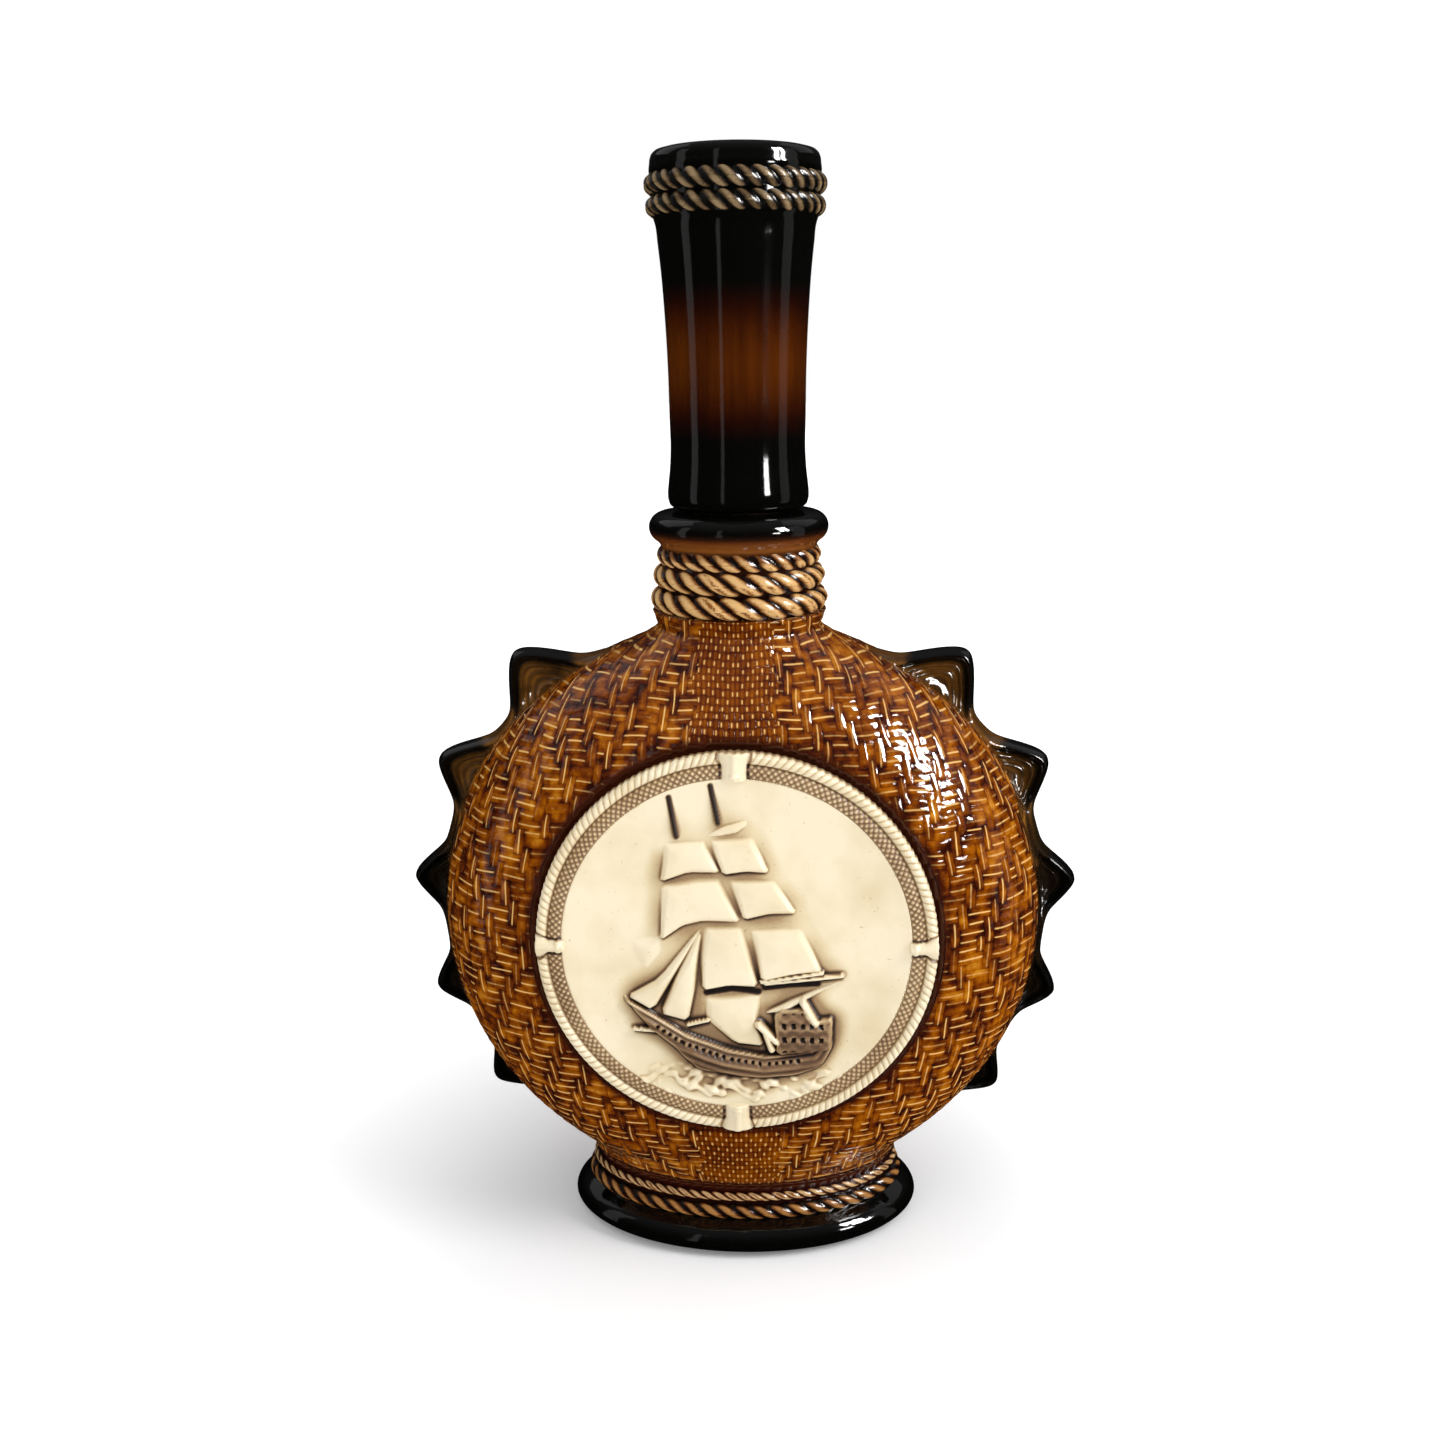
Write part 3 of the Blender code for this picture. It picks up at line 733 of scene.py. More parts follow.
# The ship's outlines, in mm from the medallion's centre.  Square sails go from the top down.
SAILS = (
    ((-17.9, 27.2), (-12.0, 28.0), (-7.0, 28.0), (-5.3, 23.6), (-3.6, 19.1), (-11.3, 19.2), (-18.1, 16.8),
     (-17.6, 22.0)),
    ((-6.6, 27.7), (-1.0, 28.6), (4.6, 28.5), (6.4, 23.7), (8.1, 19.2), (2.8, 19.5), (-2.9, 18.7),
     (-5.2, 23.5)),
    ((-18.2, 16.0), (-10.0, 18.2), (-3.6, 18.4), (-1.2, 12.4), (1.3, 6.3), (-8.0, 6.6), (-13.0, 5.4),
     (-18.5, 1.5), (-18.3, 8.4)),
    ((-2.5, 17.6), (4.0, 18.4), (9.8, 17.7), (12.3, 13.2), (14.8, 8.7), (8.4, 8.6), (2.0, 7.1),
     (0.0, 12.0)),
    ((-8.0, 5.5), (-3.0, 6.1), (2.0, 5.9), (3.7, -2.1), (5.4, -10.6), (-1.8, -10.3), (-8.3, -11.6),
     (-8.9, -3.0)),
    ((2.7, 4.8), (11.2, 5.6), (16.2, 4.9), (18.7, -0.4), (21.2, -6.6), (14.1, -7.4), (6.2, -9.1),
     (4.6, -2.0)),
    ((-8.3, -13.1), (-1.0, -12.4), (6.1, -12.2), (5.4, -19.3), (6.8, -26.4), (-0.5, -25.7),
     (-7.7, -19.4)),
)
PORT_EDGE_SAIL = ((-26.1, 1.1), (-19.6, 2.6), (-17.8, 3.8), (-18.6, -2.0), (-22.4, -6.4))
JIBS = (
    ((-8.0, 5.5), (-19.1, -8.6), (-27.2, -13.4), (-20.8, -17.2), (-13.6, -5.0)),
    ((-8.4, 4.7), (-14.7, -7.0), (-19.0, -18.0), (-12.1, -19.9), (-10.1, -10.8)),
    ((6.8, -17.7), (14.1, -13.7), (26.3, -8.9), (21.2, -11.6), (12.6, -17.0)),
)
PENNANT = ((-7.0, 28.4), (-2.7, 31.0), (2.9, 32.5), (2.8, 31.0), (0.4, 29.2), (-2.8, 28.6))
SHEER = ((-28.3, -13.4), (-24.4, -15.7), (-19.4, -18.8), (-12.2, -23.5), (-2.0, -27.3), (6.8, -28.8),
         (14.1, -27.9), (18.4, -27.1), (21.3, -22.3), (23.8, -19.1))
KEEL = ((23.9, -26.2), (21.3, -31.8), (14.1, -34.4), (3.1, -35.3), (-9.4, -33.1), (-12.3, -30.7),
        (-15.2, -27.5), (-22.3, -21.2))
STERN = ((9.4, -17.7), (11.2, -16.1), (16.9, -16.0), (19.1, -19.4), (23.8, -18.3), (23.5, -27.0),
         (9.7, -28.8))
MASTS = (((-15.7, 38.3), (-14.1, 28.4)), ((-5.7, 41.2), (-4.0, 31.9)))
SPARS = (((7.2, -9.5), (26.2, -7.3)), ((6.2, -9.1), (21.2, -6.6)), ((-25.6, -22.0), (-19.1, -22.4)),
         ((-12.1, -20.7), (-7.0, -19.4)))
FALLS = (((5.4, -20.5), (9.7, -24.8)), ((7.1, -22.2), (8.7, -27.0)), ((16.4, -14.4), (19.3, -19.6)))
FOOT_SHADOWS = (((-7.4, -12.3), (-1.0, -11.2), (5.4, -12.0)), ((7.0, -11.0), (13.0, -10.2), (20.0, -9.8)))
SEA_LINE = ((-30.0, -31.5), (-22.0, -34.5), (-12.4, -34.7), (3.0, -36.9), (21.4, -35.1), (30.2, -30.5),
            (34.0, -24.0))


def stripe(x, half=0.24):
    """True near the middle of each whole step of x."""
    return np.abs(x % 1.0 - 0.5) < half


def sail_height(x, z, outline, head, foot):
    """A sail that lies low at its head and stands out at its foot."""
    outline = np.array(outline)
    depth = depth_inside(x, z, soften(outline, 0.12, 1))
    top, bottom = outline[:, 1].max(), outline[:, 1].min()
    drop = clamp((top - z) / (top - bottom))
    lift = head + (foot - head) * drop ** 1.3 + 0.45 * clamp(depth / 5.0)
    return lift * clamp((depth + 0.15) / (2.4 - 1.7 * drop)) ** 0.6


def hull_height(x, z):
    """Hull with wales, a row of gun ports and a raised stern: height, wood and openings."""
    hull = depth_inside(x, z, soften(SHEER + KEEL, 0.15, 1))
    stern = depth_inside(x, z, soften(STERN, 0.1, 1))
    from_rail, along = line_distance(x, z, SHEER)
    body = (1.2 + 1.7 * clamp(hull / 4.0) ** 0.6) * clamp((hull + 0.1) / 0.5) ** 0.5
    body += np.where(hull > 0.0, 0.16 * np.cos(TURN * from_rail / 1.9), 0.0)
    rail = 0.5 * clamp(1.0 - np.abs(from_rail - 0.45) / 0.5) * (hull > -0.3)
    ports = (clamp(1.0 - np.abs(from_rail - 2.1) / 0.62) > 0.25) & stripe(along * 34.0)
    ports = ports & (along > 0.18) & (along < 0.80) & (hull > 0.4)
    windows = (stern > 1.0) & stripe(x * 0.44 + 0.3) & stripe(z * 0.27, 0.2)
    planks = 0.10 * np.sin(2.3 * z + np.sin(1.7 * x))
    castle = (2.2 + 0.5 * clamp(stern / 2.5) + planks) * clamp((stern + 0.1) / 0.5) ** 0.5
    height = np.maximum(body + rail, castle) - 0.75 * ports - 0.6 * windows
    wood = np.maximum(clamp((hull + 0.2) / 0.7), clamp((stern + 0.2) / 0.7))
    return np.maximum(height, 0.0), wood, (ports | windows) * 1.0


def sea_height(x, z):
    """Low rolling foam under the hull."""
    deep = np.interp(x, *np.array(SEA_LINE).T) - z
    near = ramp_up(deep, -5.0, 0.5) * ramp_up(deep, 8.5, 3.0) * ramp_up(np.abs(x - 2.0), 36.0, 24.0)
    roll = np.sin(0.62 * x + 1.3 * np.sin(0.35 * z)) * np.sin(0.9 * z + 0.8 * np.sin(0.41 * x + 0.7))
    curl = np.sin(1.35 * x + 2.0 * np.sin(0.5 * z + 1.0)) * np.sin(1.7 * z + 1.1 * np.sin(0.8 * x))
    return near * (0.95 + 0.80 * roll + 0.45 * curl)


def blur(values, sigma):
    """Gaussian blur of a square grid, in grid steps."""
    n = len(values)
    f = np.fft.fftfreq(n)
    pass_band = np.exp(-2.0 * (math.pi * sigma) ** 2 * (f[:, None] ** 2 + f[None, :] ** 2))
    return np.real(np.fft.ifft2(np.fft.fft2(values) * pass_band))


def round_bar(distance, half, tall):
    """Height of a half-round bar at a distance from its middle."""
    return tall * np.sqrt(clamp(1.0 - (distance / half) ** 2))


def ship_relief_field(x, z):
    """Relief height, and its brown antiquing with painted shadow below raised parts."""
    r = np.hypot(x, z)
    dish = 1.1 * clamp((r - 20.0) / 22.5) ** 2.4
    backing = np.max([clamp(depth_inside(x, z, np.array(s)) + 1.0) for s in SAILS], 0)
    height = dish + 0.10 * np.sin(0.16 * x + 0.5) * np.sin(0.13 * z) + 0.35 * blur(backing, 5.0)
    for outline in SAILS:
        height = np.maximum(height, dish * 0.3 + sail_height(x, z, outline, 0.55, 1.9))
    sheets = [(PORT_EDGE_SAIL, 0.18, 0.14)] + [(jib, 1.3, 1.7) for jib in JIBS] + [(PENNANT, 0.9, 1.0)]
    for outline, head, foot in sheets:
        height = np.maximum(height, sail_height(x, z, outline, head, foot))
    hull, wood, dark = hull_height(x, z)
    height = np.max([height, sea_height(x, z), hull], 0)
    wash_light_and_shade = 0.66 * wood + 0.5 * dark
    for points in MASTS:
        distance = line_distance(x, z, points)[0]
        height = np.maximum(height, round_bar(distance, 0.75, 1.3))
        wash_light_and_shade = np.maximum(wash_light_and_shade, 0.92 * ramp_up(distance, 0.85, 0.45))
    for points in SPARS:
        height = np.maximum(height, round_bar(line_distance(x, z, points)[0], 0.5, 2.1))
    for points in FALLS:
        distance = line_distance(x, z, points)[0]
        height = np.maximum(height, 2.9 * clamp(1.4 - distance / 0.8) ** 0.5)
        wash_light_and_shade = wash_light_and_shade * ramp_up(distance, 0.8, 1.3)
    hollow = blur(height, 2.4) - height
    broad = blur(height, 9.0) - height
    # Painted shadow: darker just below whatever stands higher above it, most under the sails' feet.
    shadow_below = np.max([np.roll(height, -k, 0) - height - 0.25 * k for k in (2, 4, 6, 8)], 0)
    wash_light_and_shade = wash_light_and_shade + clamp(hollow * 1.3 - 0.08, 0.0, 0.9) + clamp(broad * 0.75 - 0.05, 0.0, 0.36)
    wash_light_and_shade = wash_light_and_shade + clamp(shadow_below * 0.55, 0.0, 0.7) * (wood < 0.5) * (r < 40.0)
    wash_light_and_shade = wash_light_and_shade - clamp(-hollow * 1.2, 0.0, 0.3) * (wood > 0.5)
    # Painted shadow lines under the feet of the lowest sails.
    for points in FOOT_SHADOWS:
        wash_light_and_shade = np.maximum(wash_light_and_shade, ramp_up(line_distance(x, z, points)[0], 1.3, 0.5))
    return height, clamp(wash_light_and_shade)


def ship_relief(material):
    """The medallion's picture, on a square grid bent to fill a circle."""
    n = SHIP_GRID
    line = np.linspace(-1.0, 1.0, n)
    a, b = np.meshgrid(line, line)
    x = SHIP_R * a * np.sqrt(1.0 - 0.5 * b * b)
    z = SHIP_R * b * np.sqrt(1.0 - 0.5 * a * a)
    height, wash_light_and_shade = ship_relief_field(x, z)
    front = np.stack([x, MEDAL_FIELD_Y + 0.6 - height, MEDAL_Z + z], -1).reshape(-1, 3)
    index = np.arange(n * n).reshape(n, n)
    edge = np.concatenate([index[0, :-1], index[:-1, -1], index[-1, :0:-1], index[:0:-1, 0]])
    behind = front[edge].copy()
    behind[:, 1] = MEDAL_BACK_Y
    centre = np.array([[0.0, MEDAL_BACK_Y, MEDAL_Z]])
    first = n * n
    k = np.arange(len(edge))
    k_next = (k + 1) % len(edge)
    quads = np.stack([index[:-1, :-1], index[:-1, 1:], index[1:, 1:], index[1:, :-1]], -1).reshape(-1, 4)
    skirt = np.stack([edge[k_next], edge[k], first + k, first + k_next], -1)
    triangles = np.stack([first + k_next, first + k, np.full(len(edge), first + len(edge))], -1)
    points = np.concatenate([front, behind, centre])
    extra = np.zeros(len(edge) + 1)
    fields = {"wash_light_and_shade": np.concatenate([wash_light_and_shade.ravel(), extra])}
    piece = make_piece("ship_relief", points, np.concatenate([quads, skirt]), triangles, fields)
    return settle(piece, "bottle", "cream_bisque", material, "medallion")


def rim_profile(r, a):
    """Height and brown tone of the rope, the braid and the four lashings at radius r and bearing a; the
    braid's paler bead tops are painted glints.
    """
    q = clamp((r - RIM_ROPE_R) / RIM_ROPE_HALF, -1.0, 1.0)
    lobe = np.abs(np.cos(0.5 * (2.4 * np.arcsin(q) + RIM_LOBES * a))) ** 0.7
    rope = 1.65 * np.sqrt(1.0 - q * q) * (0.70 + 0.30 * lobe)
    s = clamp((r - BRAID_R) / BRAID_HALF, -1.0, 1.0)
    run = a * BRAID_BEADS / TURN
    knit = np.abs(np.sin(math.pi * (run + 1.3 * s)) * np.sin(math.pi * (run - 1.3 * s)))
    braid = 0.95 * np.sqrt(1.0 - s * s) + 0.45 * np.sqrt(knit) * (1.0 - s * s)
    height = np.maximum(rope, braid)
    is_braid = ramp_up(np.abs(r - BRAID_R), 2.3, 1.9)
    # The braid is brown, with paler bead tops that are painted glints.
    wash_light_and_shade = mix(0.30 * (1.0 - lobe) ** 2, 0.56 - 0.48 * knit, is_braid)
    wash_light_and_shade = wash_light_and_shade + 0.22 * ramp_up(np.abs(r - 46.6), 0.4, 0.1)
    for quarter in range(4):
        across = np.abs((a - quarter * 0.25 * TURN + math.pi) % TURN - math.pi) * r
        narrow, flare = ((1.7, 1.3), (3.1, 0.8))[quarter % 2]
        half = narrow + flare * ramp_up(r, 46.0, 48.6)
        edge = half - across
        band = round_bar(across, half, 2.35) * ramp_up(r, 49.9, 49.1) * ramp_up(r, 42.0, 42.7)
        knob = round_bar(np.hypot(across / 2.0, (r - 43.8) / 1.5), 1.0, 2.9)
        ridge = 0.35 * clamp(1.0 - across ** 2)
        lash = np.maximum(band + ridge * (band > 0.5), knob)
        covered = ramp_up(edge, -0.15, 0.35)
        height = np.where(edge > -0.6, np.maximum(height * (1.0 - covered), lash), height)
        wash_light_and_shade = wash_light_and_shade * (1.0 - covered) + 0.5 * ramp_up(np.abs(edge + 0.25), 0.5, 0.05)
    return height, clamp(wash_light_and_shade)


def medallion_rim(material):
    a = ring_angles(RIM_COLUMNS)[None, :]
    r = np.concatenate([[42.15], np.linspace(42.3, 49.3, 34)])[:, None] + 0.0 * a
    foot_point = np.abs((a + 0.25 * TURN + math.pi) % TURN - math.pi) * 49.0
    scallop = 0.12 * np.cos(RIM_LOBES * a + 3.0)
    r = r + clamp((r - 47.65) / 1.65) * (scallop + 1.1 * clamp(1.0 - foot_point / 3.6))
    height, wash_light_and_shade = rim_profile(r, a)
    y = MEDAL_FIELD_Y + 0.35 - height
    face = points_at(r * np.cos(a), y, MEDAL_Z + r * np.sin(a))
    back = face[[-1, -1, 0, 0]].copy()
    back[0, :, 1] = 0.5 * (face[-1, :, 1] + MEDAL_BACK_Y)
    back[1:3, :, 1] = MEDAL_BACK_Y
    back[3, :, 1] = 0.5 * (face[0, :, 1] + MEDAL_BACK_Y)
    rings = np.concatenate([face, back])
    wash_light_and_shade = np.concatenate([wash_light_and_shade, np.full((4, wash_light_and_shade.shape[1]), 0.35)])
    piece = skin("medallion_rope_rim", rings, {"wash_light_and_shade": wash_light_and_shade}, closed_path=True)
    return settle(piece, "bottle", "cream_bisque", material, "medallion")


# ---- stopper
# Height and radius, outside from the foot up, then inside from the top down.
STOPPER_CURVE = ((195.3, 13.4), (195.5, 15.3), (196.1, 16.7), (197.4, 17.5), (199.2, 17.7), (201.5, 17.5),
                 (205.0, 17.1), (210.0, 16.8), (218.0, 16.9), (228.0, 17.0), (236.0, 17.25), (244.0, 17.65),
                 (252.0, 18.2), (259.0, 18.9), (263.2, 19.4), (264.8, 19.9), (268.0, 20.1), (274.0, 20.5),
                 (275.2, 20.65), (276.6, 20.5), (278.0, 20.3), (279.0, 19.8), (279.6, 19.0), (279.9, 17.8))
STOPPER_INSIDE = ((275.0, 3.0), (275.0, 12.0), (274.0, 14.8), (268.0, 15.6), (256.0, 14.0), (240.0, 12.9),
                  (217.0, 12.1), (205.0, 12.1), (196.4, 12.1), (195.5, 12.5))


def stopper(material):
    heights = np.concatenate([np.linspace(195.3, 199.0, 16), np.linspace(200.0, 263.0, 70),
                              np.linspace(263.6, 279.9, 44)])
    outer = [(z, float(smooth_curve(np.array(z), STOPPER_CURVE))) for z in heights]
    top = [(280.0, 16.4), (280.1, 14.0), (280.2, 9.0), (280.2, 3.0)]
    piece = turned("stopper_column", [*reversed(STOPPER_INSIDE), *outer, *top], 160)
    return settle(piece, "stopper", "black_glaze", material, "stopper_shell")


def cork(material):
    low, high = CORK_LOW[2], CORK_HIGH[2]
    a = ring_angles(120)[None, :]
    profile = [(low, 5.0), (low, 9.2), (low + 0.25, 10.0), (low + 0.8, 10.5)]
    profile += [(z, 10.55 + 0.62 * (z - low) / 24.0) for z in np.linspace(low + 1.6, 194.5, 40)]
    profile += [(196.6, 11.17), (197.4, 10.65), (high - 0.3, 10.65), (high, 10.2), (high, 5.0)]
    z, r = np.array(profile).T[:, :, None]
    pits = np.sin(9.0 * a + 0.7 * z) * np.sin(1.9 * z + 3.0 * np.sin(4.0 * a))
    dent = 0.14 * clamp(pits + 0.6 * np.sin(23.0 * a - 1.1 * z) - 0.75)
    piece = skin("cork_plug", ring_at(z, r - dent, a))
    return settle(piece, "stopper", "cork", material, "stopper_cork")


# ---- materials
def linear(red, green, blue):
    """Shader colour from an ordinary 0-255 screen colour."""
    c = np.array([red, green, blue]) / 255.0
    return (*np.where(c <= 0.04045, c / 12.92, ((c + 0.055) / 1.055) ** 2.4), 1.0)


class Shade:
    """One procedural material, built node by node."""

    def __init__(self, name):
        self.material = bpy.data.materials.new(name)
        self.material.use_nodes = True
        self.tree = self.material.node_tree
        self.shader = self.tree.nodes["Principled BSDF"]
        where = self.add("TexCoord", {})["Object"]
        self.where = self.add("VectorMath", {0: where, "Scale": 1.0 / MM}, operation="SCALE")[0]

    def add(self, kind, inputs, **settings):
        return add_node(self.tree, kind, inputs, **settings)

    def split(self, socket):
        return [Field(self.tree, output) for output in self.add("SeparateXYZ", {0: socket})]

    def join(self, *values):
        return self.add("CombineXYZ", dict(enumerate(values)))[0]

    def place(self):
        return self.split(self.where)

    def stored(self, name):
        return self.split(self.add("Attribute", {}, attribute_name=name)["Vector"])

    def number(self, name):
        return Field(self.tree, self.add("Attribute", {}, attribute_name=name)["Fac"])

    def noise(self, grain, detail=3.0, vector=None, roughness=0.5):
        """Soft noise whose features are about grain mm across."""
        inputs = {"Vector": vector or self.where, "Scale": 1.0 / grain}
        inputs.update(Detail=detail, Roughness=roughness)
        return Field(self.tree, self.add("TexNoise", inputs)[0])

    def chance(self, *values):
        """An even random number from 0 to 1, fixed for each set of values."""
        inputs = {"Vector": self.join(*values)}
        return Field(self.tree, self.add("TexWhiteNoise", inputs, noise_dimensions="3D")["Value"])

    def ramp(self, value, *stops):
        """Colour read from (position, screen colour) stops."""
        return add_ramp(self.tree, value, [(position, linear(*colour)) for position, colour in stops])

    def mix(self, share, a, b):
        a, b = (linear(*value) if isinstance(value, tuple) else value for value in (a, b))
        return self.add("Mix", {"Factor": share, 6: a, 7: b}, data_type="RGBA")[2]

    def bump(self, height, depth, strength=1.0):
        """Fine relief, depth mm from height 0 to height 1."""
        inputs = {"Strength": strength, "Distance": depth * MM, "Height": height}
        self.set(Normal=self.add("Bump", inputs)[0])

    def set(self, **values):
        for name, value in values.items():
            plug(self.tree, value, self.shader.inputs[name.replace("_", " ")])

    def finish(self, colour, roughness):
        self.set(Base_Color=colour, Roughness=roughness)
        return self.material


BLACK = (5, 5, 4)
DEEP = (34, 12, 6)
MAROON = (52, 16, 8)
POOLED = (60, 22, 8)
BAND_MIDDLE = 35.6                  # height of the stopper's amber band above its foot
BAND_HALF = 21.0
# Glaze colours where there is no weave, by height in mm.
GLAZE_BANDS = ((0.0, BLACK), (10.0, BLACK), (11.2, (40, 16, 8)), (17.6, MAROON), (20.0, POOLED),
               (30.0, (26, 16, 8)), (104.0, (28, 17, 8)), (128.0, (84, 50, 18)), (156.0, (104, 60, 20)),
               (168.0, (60, 26, 10)), (170.0, DEEP), (185.6, (40, 18, 8)), (186.8, (122, 70, 26)),
               (188.8, (96, 48, 16)), (190.0, (24, 12, 8)), (191.2, BLACK))
BANDS_TOP = 200.0


def woven_glaze():
    s = Shade("woven_amber_glaze")
    x, y, z = s.place()
    u, v, cover = s.stored("place")
    inside, bare, pool = s.stored("zone")
    height, dip, crest, name_a, name_b, panel = weave(u, v)
    corner = below(x, 0.0) * 31.0 + below(y, 0.0) * 57.0 + below(z, DISC_Z) * 11.0
    tone = s.chance(name_a, name_b, corner)
    shine = s.chance(name_b, name_a, corner + 7.0)
    cloud = s.noise(14.0, 3.0)
    grain = s.noise(1.0, 4.0, roughness=0.6)
    patch = s.noise(4.2, 3.0)
    level = 0.28 + 0.12 * height - mix(0.30, 0.24, panel) * dip + 0.24 * mix(tone, 0.6, panel)
    level = level + (patch - 0.5) * mix(1.8, 0.6, panel) + (cloud - 0.5) * 0.45
    level = level + (grain - 0.5) * 0.32 - pool * 0.2
    strip = s.ramp(level, (0.02, (44, 12, 5)), (0.24, (80, 30, 6)), (0.47, (118, 56, 3)),
                   (0.7, (152, 82, 5)), (0.98, (186, 122, 30)))
    line = clamp(mix(shine, 0.8, panel) * 1.5 - 0.1 + (grain - 0.5) * 1.1) * (1.0 - pool * 0.5)
    woven = s.mix(crest * line, strip, (230, 182, 108))
    bands = s.ramp(z / BANDS_TOP, *((height_mm / BANDS_TOP, shade) for height_mm, shade in GLAZE_BANDS))
    bands = s.mix(pool, bands, POOLED)
    colour = s.mix(cover, bands, woven)
    colour = s.mix(inside, colour, (150, 112, 76))
    colour = s.mix(bare, colour, (58, 40, 28))
    swell = s.noise(5.0, 1.0)
    s.bump(height * cover * mix(0.70, 0.4, panel) + (grain - 0.5) * 0.10 + swell * 1.6, 0.20, 0.5)
    return s.finish(colour, 0.04 + 0.05 * grain + inside * 0.5 + bare * 0.4)


def lip_glaze():
    s = Shade("pooled_glaze")
    grain = s.noise(1.4, 4.0)
    cloud = s.noise(9.0, 2.0)
    colour = s.ramp(grain * 0.5 + cloud * 0.5, (0.2, (16, 6, 4)), (0.5, (44, 14, 7)), (0.75, (84, 34, 12)))
    s.bump(grain, 0.06)
    return s.finish(colour, 0.10 + 0.10 * grain)


def rope_glaze(name, dark, middle, pale, darkness):
    """Glazed rope: pale worn edges, speckled middles, dark grooves."""
    s = Shade(name)
    ridge, number, outward_share = s.stored("strand")
    _, y, z = s.place()
    speckle = s.noise(0.55, 4.0, roughness=0.7)
    cloud = s.noise(10.0, 2.0)
    tone = s.chance(whole(number + 0.5), z * 0.0 + 3.0, below(y, 0.0) * 5.0)
    level = ridge * 1.05 + (speckle - 0.5) * 0.45 + (tone - 0.5) * 0.22 + (cloud - 0.5) * 0.3 - darkness
    level = level - clamp(0.55 - outward_share) * 1.2
    level = level - 0.35 * ramp_up(z, 182.0, 186.0) * ramp_up(z, 195.0, 190.0)
    colour = s.ramp(level, (0.28, dark), (0.52, middle), (0.78, pale), (0.92, pale), (1.0, middle))
    s.bump(ridge * 0.5 + speckle * 0.22, 0.25, 0.7)
    return s.finish(colour, 0.12 + 0.14 * speckle)


def fin_glaze():
    s = Shade("fin_glaze")
    inset, tall, degrees = s.stored("fin")
    grain = s.noise(1.2, 4.0)
    cloud = s.noise(7.0, 2.0)
    deep = ramp_up(inset, 2.6, 5.2)
    low = ramp_up(degrees, 2.0, 30.0)
    valley = ramp_up(tall, 3.6, 1.2)
    amber = deep * (0.16 + 0.5 * cloud) + valley * 0.42
    ripple = 0.5 + 0.5 * (inset * (TURN / 2.3) + 1.2).math("COSINE")
    level = amber * (0.25 + 0.75 * low) * (0.7 + 0.45 * ripple) + (grain - 0.5) * 0.12
    colour = s.ramp(level, (0.02, BLACK), (0.2, (36, 24, 10)), (0.42, (92, 58, 20)), (0.7, (150, 98, 34)))
    s.bump(grain, 0.05)
    return s.finish(colour, 0.09 + 0.08 * grain)


def stopper_glaze():
    s = Shade("stopper_glaze")
    x, y, z = s.place()
    streaks = s.noise(1.0, 4.0, s.join(x * 0.55, y * 0.55, z * 0.03), 0.6)
    broad = s.noise(1.0, 2.0, s.join(x * 0.10, y * 0.10, z * 0.015))
    fine = s.noise(1.2, 4.0)
    cloud = s.noise(9.0, 2.0)
    edge = (z - (STOPPER_FOOT + BAND_MIDDLE)) / BAND_HALF
    band = clamp(1.0 - edge * edge)
    band = band * band
    level = band * (0.10 + 0.60 * streaks + 0.75 * broad) + (cloud - 0.5) * 0.12 * band + streaks * 0.03
    colour = s.ramp(level, (0.06, BLACK), (0.28, (28, 7, 3)), (0.52, (50, 18, 3)), (0.9, (76, 34, 4)))
    s.bump(fine, 0.012)
    return s.finish(colour, 0.04 + 0.05 * fine)


def bisque():
    s = Shade("antiqued_cream_ceramic")
    # This attribute holds the brown antiquing together with painted shadow under the ship's sails and
    # painted glints on the braid.
    wash_light_and_shade = s.number("wash_light_and_shade")
    grain = s.noise(0.5, 5.0, roughness=0.65)
    cloud = s.noise(16.0, 3.0)
    specks = clamp((s.noise(0.9, 2.0) - 0.70) * 9.0)
    level = wash_light_and_shade + (grain - 0.5) * 0.20 * clamp(wash_light_and_shade * 3.0) + specks * 0.22 + clamp(cloud - 0.42) * 0.30
    colour = s.ramp(level, (0.0, (240, 226, 194)), (0.12, (220, 200, 158)), (0.3, (178, 148, 104)),
                    (0.55, (126, 92, 60)), (0.8, (68, 44, 26)), (1.0, (28, 17, 11)))
    s.bump(grain, 0.05, 0.6)
    return s.finish(colour, 0.36 + 0.2 * grain)


def cork_bark():
    s = Shade("cork_bark")
    grain = s.noise(1.6, 5.0, roughness=0.7)
    pores = clamp((s.noise(2.2, 3.0) - 0.60) * 8.0)
    colour = s.ramp(grain, (0.25, (122, 80, 44)), (0.5, (182, 134, 84)), (0.75, (212, 168, 116)))
    colour = s.mix(pores, colour, (62, 36, 20))
    s.bump(grain * 0.6 + (1.0 - pores) * 0.6, 0.3)
    return s.finish(colour, 0.72 + 0.2 * grain)


def cured_glue(name, dark, pale):
    s = Shade(name)
    grain = s.noise(2.0, 4.0)
    s.bump(grain, 0.2)
    s.set(Transmission_Weight=0.05)
    return s.finish(s.ramp(grain, (0.3, dark), (0.7, pale)), 0.3 + 0.4 * grain)


def floor_material():
    s = Shade("studio_floor")
    x, y, _ = s.place()
    away = power(x * x + (y + 20.0) * (y + 20.0), 0.5)
    # The floor glows: painted light, dim near the flask so its shadow shows, brighter further out so the
    # floor reads white.
    glow = 0.14 + 0.30 * ramp_up(away, 60.0, 180.0) + 0.42 * ramp_up(away, 200.0, 1100.0)
    s.set(Emission_Color=WHITE, Emission_Strength=glow)
    grain = s.noise(40.0, 3.0)
    return s.finish(s.ramp(grain, (0.3, (249, 249, 249)), (0.7, (251, 251, 251))), 0.6 + 0.1 * grain)


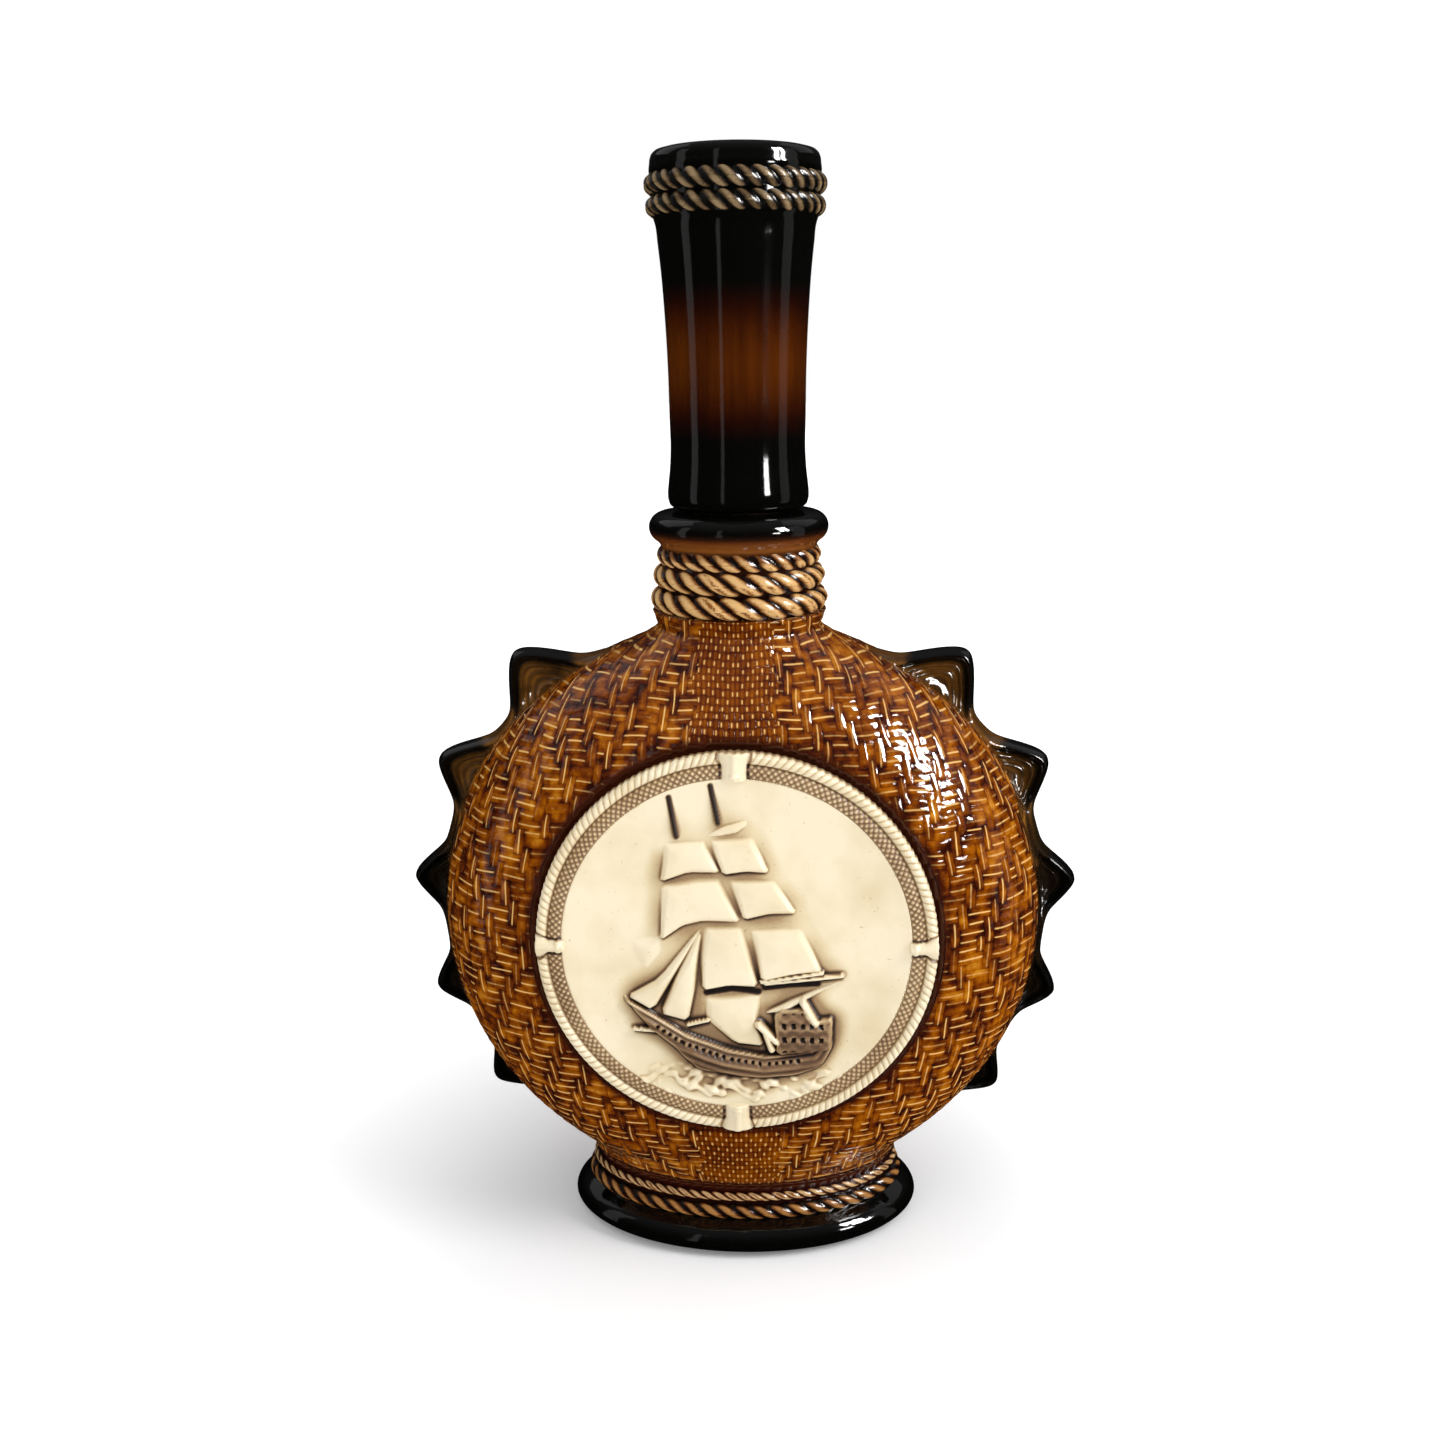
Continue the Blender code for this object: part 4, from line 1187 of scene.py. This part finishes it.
# ---- camera and stage
def camera():
    """Close, slightly raised view, a little to the right of the medallion."""
    azimuth, dip, roll = math.radians(2.739), math.radians(14.578), math.radians(0.609)
    level = math.cos(dip)
    forward = Vector((-math.sin(azimuth) * level, math.cos(azimuth) * level, -math.sin(dip)))
    right = Vector((math.cos(azimuth), math.sin(azimuth), 0.0))
    up = right.cross(forward)
    c, s = math.cos(roll), math.sin(roll)
    turned_axes = Matrix((c * right - s * up, s * right + c * up, -forward)).transposed().to_4x4()
    data = bpy.data.cameras.new("camera")
    data.sensor_width = 36.0
    data.lens = 36.32
    data.shift_x = -0.0098
    data.shift_y = 0.0021
    data.clip_start = 0.01
    obj = put("camera", data)
    obj.matrix_world = Matrix.Translation((0.0166, -0.3690, 0.2347)) @ turned_axes
    bpy.context.scene.camera = obj


# Name, place, width, height and watts.
REFLECTIONS = (("window_pane_near", (0.626, -0.365, 0.572), 0.080, 0.36, 8.0),
               ("window_pane_far", (0.676, -0.260, 0.572), 0.070, 0.36, 6.5),
               ("low_window", (0.54, -0.46, 0.262), 0.10, 0.085, 0.9),
               ("card_left", (-0.9, -0.25, 0.30), 0.22, 1.1, 0.32),
               ("card_front_left", (-0.42, -1.0, 0.35), 0.10, 1.1, 0.16),
               ("card_right", (0.95, -0.1, 0.30), 0.30, 1.1, 0.30),
               ("card_behind_left", (-0.9, 0.5, 1.05), 0.9, 0.9, 0.9),
               ("card_behind_right", (0.9, 0.5, 1.05), 0.9, 0.9, 0.7))
WHITE = (1.0, 1.0, 1.0, 1.0)
SKY_LEVELS = ((0.0, 0.02), (0.14, 0.05), (0.5, 0.26), (1.0, 0.80))      # share of the way up, brightness
GLOSSY_SHARE = 0.2                  # of the sky's strength, that the glaze mirrors


def area_light(name, place, target, width, height, watts):
    data = bpy.data.lights.new(name, "AREA")
    data.shape = "RECTANGLE"
    data.size = width
    data.size_y = height
    data.energy = watts
    obj = put(name, data)
    obj.location = place
    obj.rotation_euler = (Vector(target) - Vector(place)).to_track_quat("-Z", "Y").to_euler()
    obj.visible_camera = False
    return obj


def lights():
    """Broad light for the colours, and separate panes and cards that only the glaze mirrors."""
    broad = [area_light("window_light", (0.62, -0.32, 0.60), (0.02, -0.02, 0.12), 0.30, 0.40, 4.0),
             area_light("front_fill", (-0.35, -1.1, 0.95), (0.0, 0.0, 0.10), 1.1, 1.1, 3.6)]
    data = bpy.data.lights.new("ceiling", "SUN")
    data.energy = 0.66
    data.angle = math.radians(60.0)
    ceiling = put("ceiling", data)
    ceiling.rotation_euler = (math.radians(12.0), 0.0, 0.0)
    for light in broad + [ceiling]:
        light.visible_glossy = False
    for name, place, width, height, watts in REFLECTIONS:
        area_light(name, place, (0.0, 0.0, 0.15), width, height, watts).visible_diffuse = False


def sky():
    """White to the camera; dark at the level of the horizon and bright overhead for the glaze."""
    world = bpy.data.worlds.new("studio")
    bpy.context.scene.world = world
    world.use_nodes = True
    tree = world.node_tree
    upward = add_node(tree, "SeparateXYZ", {0: add_node(tree, "TexCoord", {})["Generated"]})["Z"]
    greys = [(at, (level, level, level * 1.03, 1.0)) for at, level in SKY_LEVELS]
    ray = add_node(tree, "LightPath", {})
    inputs = {"Factor": ray["Is Camera Ray"], 6: add_ramp(tree, upward, greys), 7: WHITE}
    background = tree.nodes["Background"].inputs
    plug(tree, add_node(tree, "Mix", inputs, data_type="RGBA")[2], background["Color"])
    strength = 1.0 - (1.0 - GLOSSY_SHARE) * Field(tree, ray["Is Glossy Ray"])
    plug(tree, strength, background["Strength"])


def studio_floor():
    half = 6.0
    mesh = bpy.data.meshes.new("studio_floor")
    corners = [(-half, -half, 0.0), (half, -half, 0.0), (half, half, 0.0), (-half, half, 0.0)]
    mesh.from_pydata(corners, [], [(0, 1, 2, 3)])
    mesh.materials.append(floor_material())
    obj = put("studio_floor", mesh)
    obj.location.z = -0.0002
    obj.visible_glossy = False


def main():
    flask(woven_glaze())
    pocket_lip(lip_glaze())
    ropes(rope_glaze("neck_rope_glaze", (20, 7, 4), (128, 74, 28), (214, 172, 112), 0.14),
          (rope_glaze("foot_lower_rope_glaze", (14, 6, 4), (100, 54, 18), (176, 124, 66), 0.24),
           rope_glaze("foot_upper_rope_glaze", (34, 10, 5), (140, 84, 40), (214, 176, 124), 0.08)),
          rope_glaze("stopper_rope_glaze", (9, 8, 7), (74, 56, 34), (138, 116, 84), 0.36))
    fin_material = fin_glaze()
    fins("rim_fins_right", 1.0, fin_material)
    fins("rim_fins_left", -1.0, fin_material)
    cream = bisque()
    ship_relief(cream)
    medallion_rim(cream)
    stopper(stopper_glaze())
    cork(cork_bark())
    for node, dark, pale in (("medallion_adhesive", (120, 96, 62), (176, 150, 106)),
                             ("cork_adhesive", (140, 110, 66), (190, 160, 110))):
        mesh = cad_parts[node].data
        mesh.materials.clear()
        mesh.materials.append(cured_glue(node, dark, pale))
    studio_floor()
    lights()
    sky()
    camera()
    bpy.context.scene.view_settings.view_transform = "Standard"
    bpy.context.scene.view_settings.look = "None"


main()
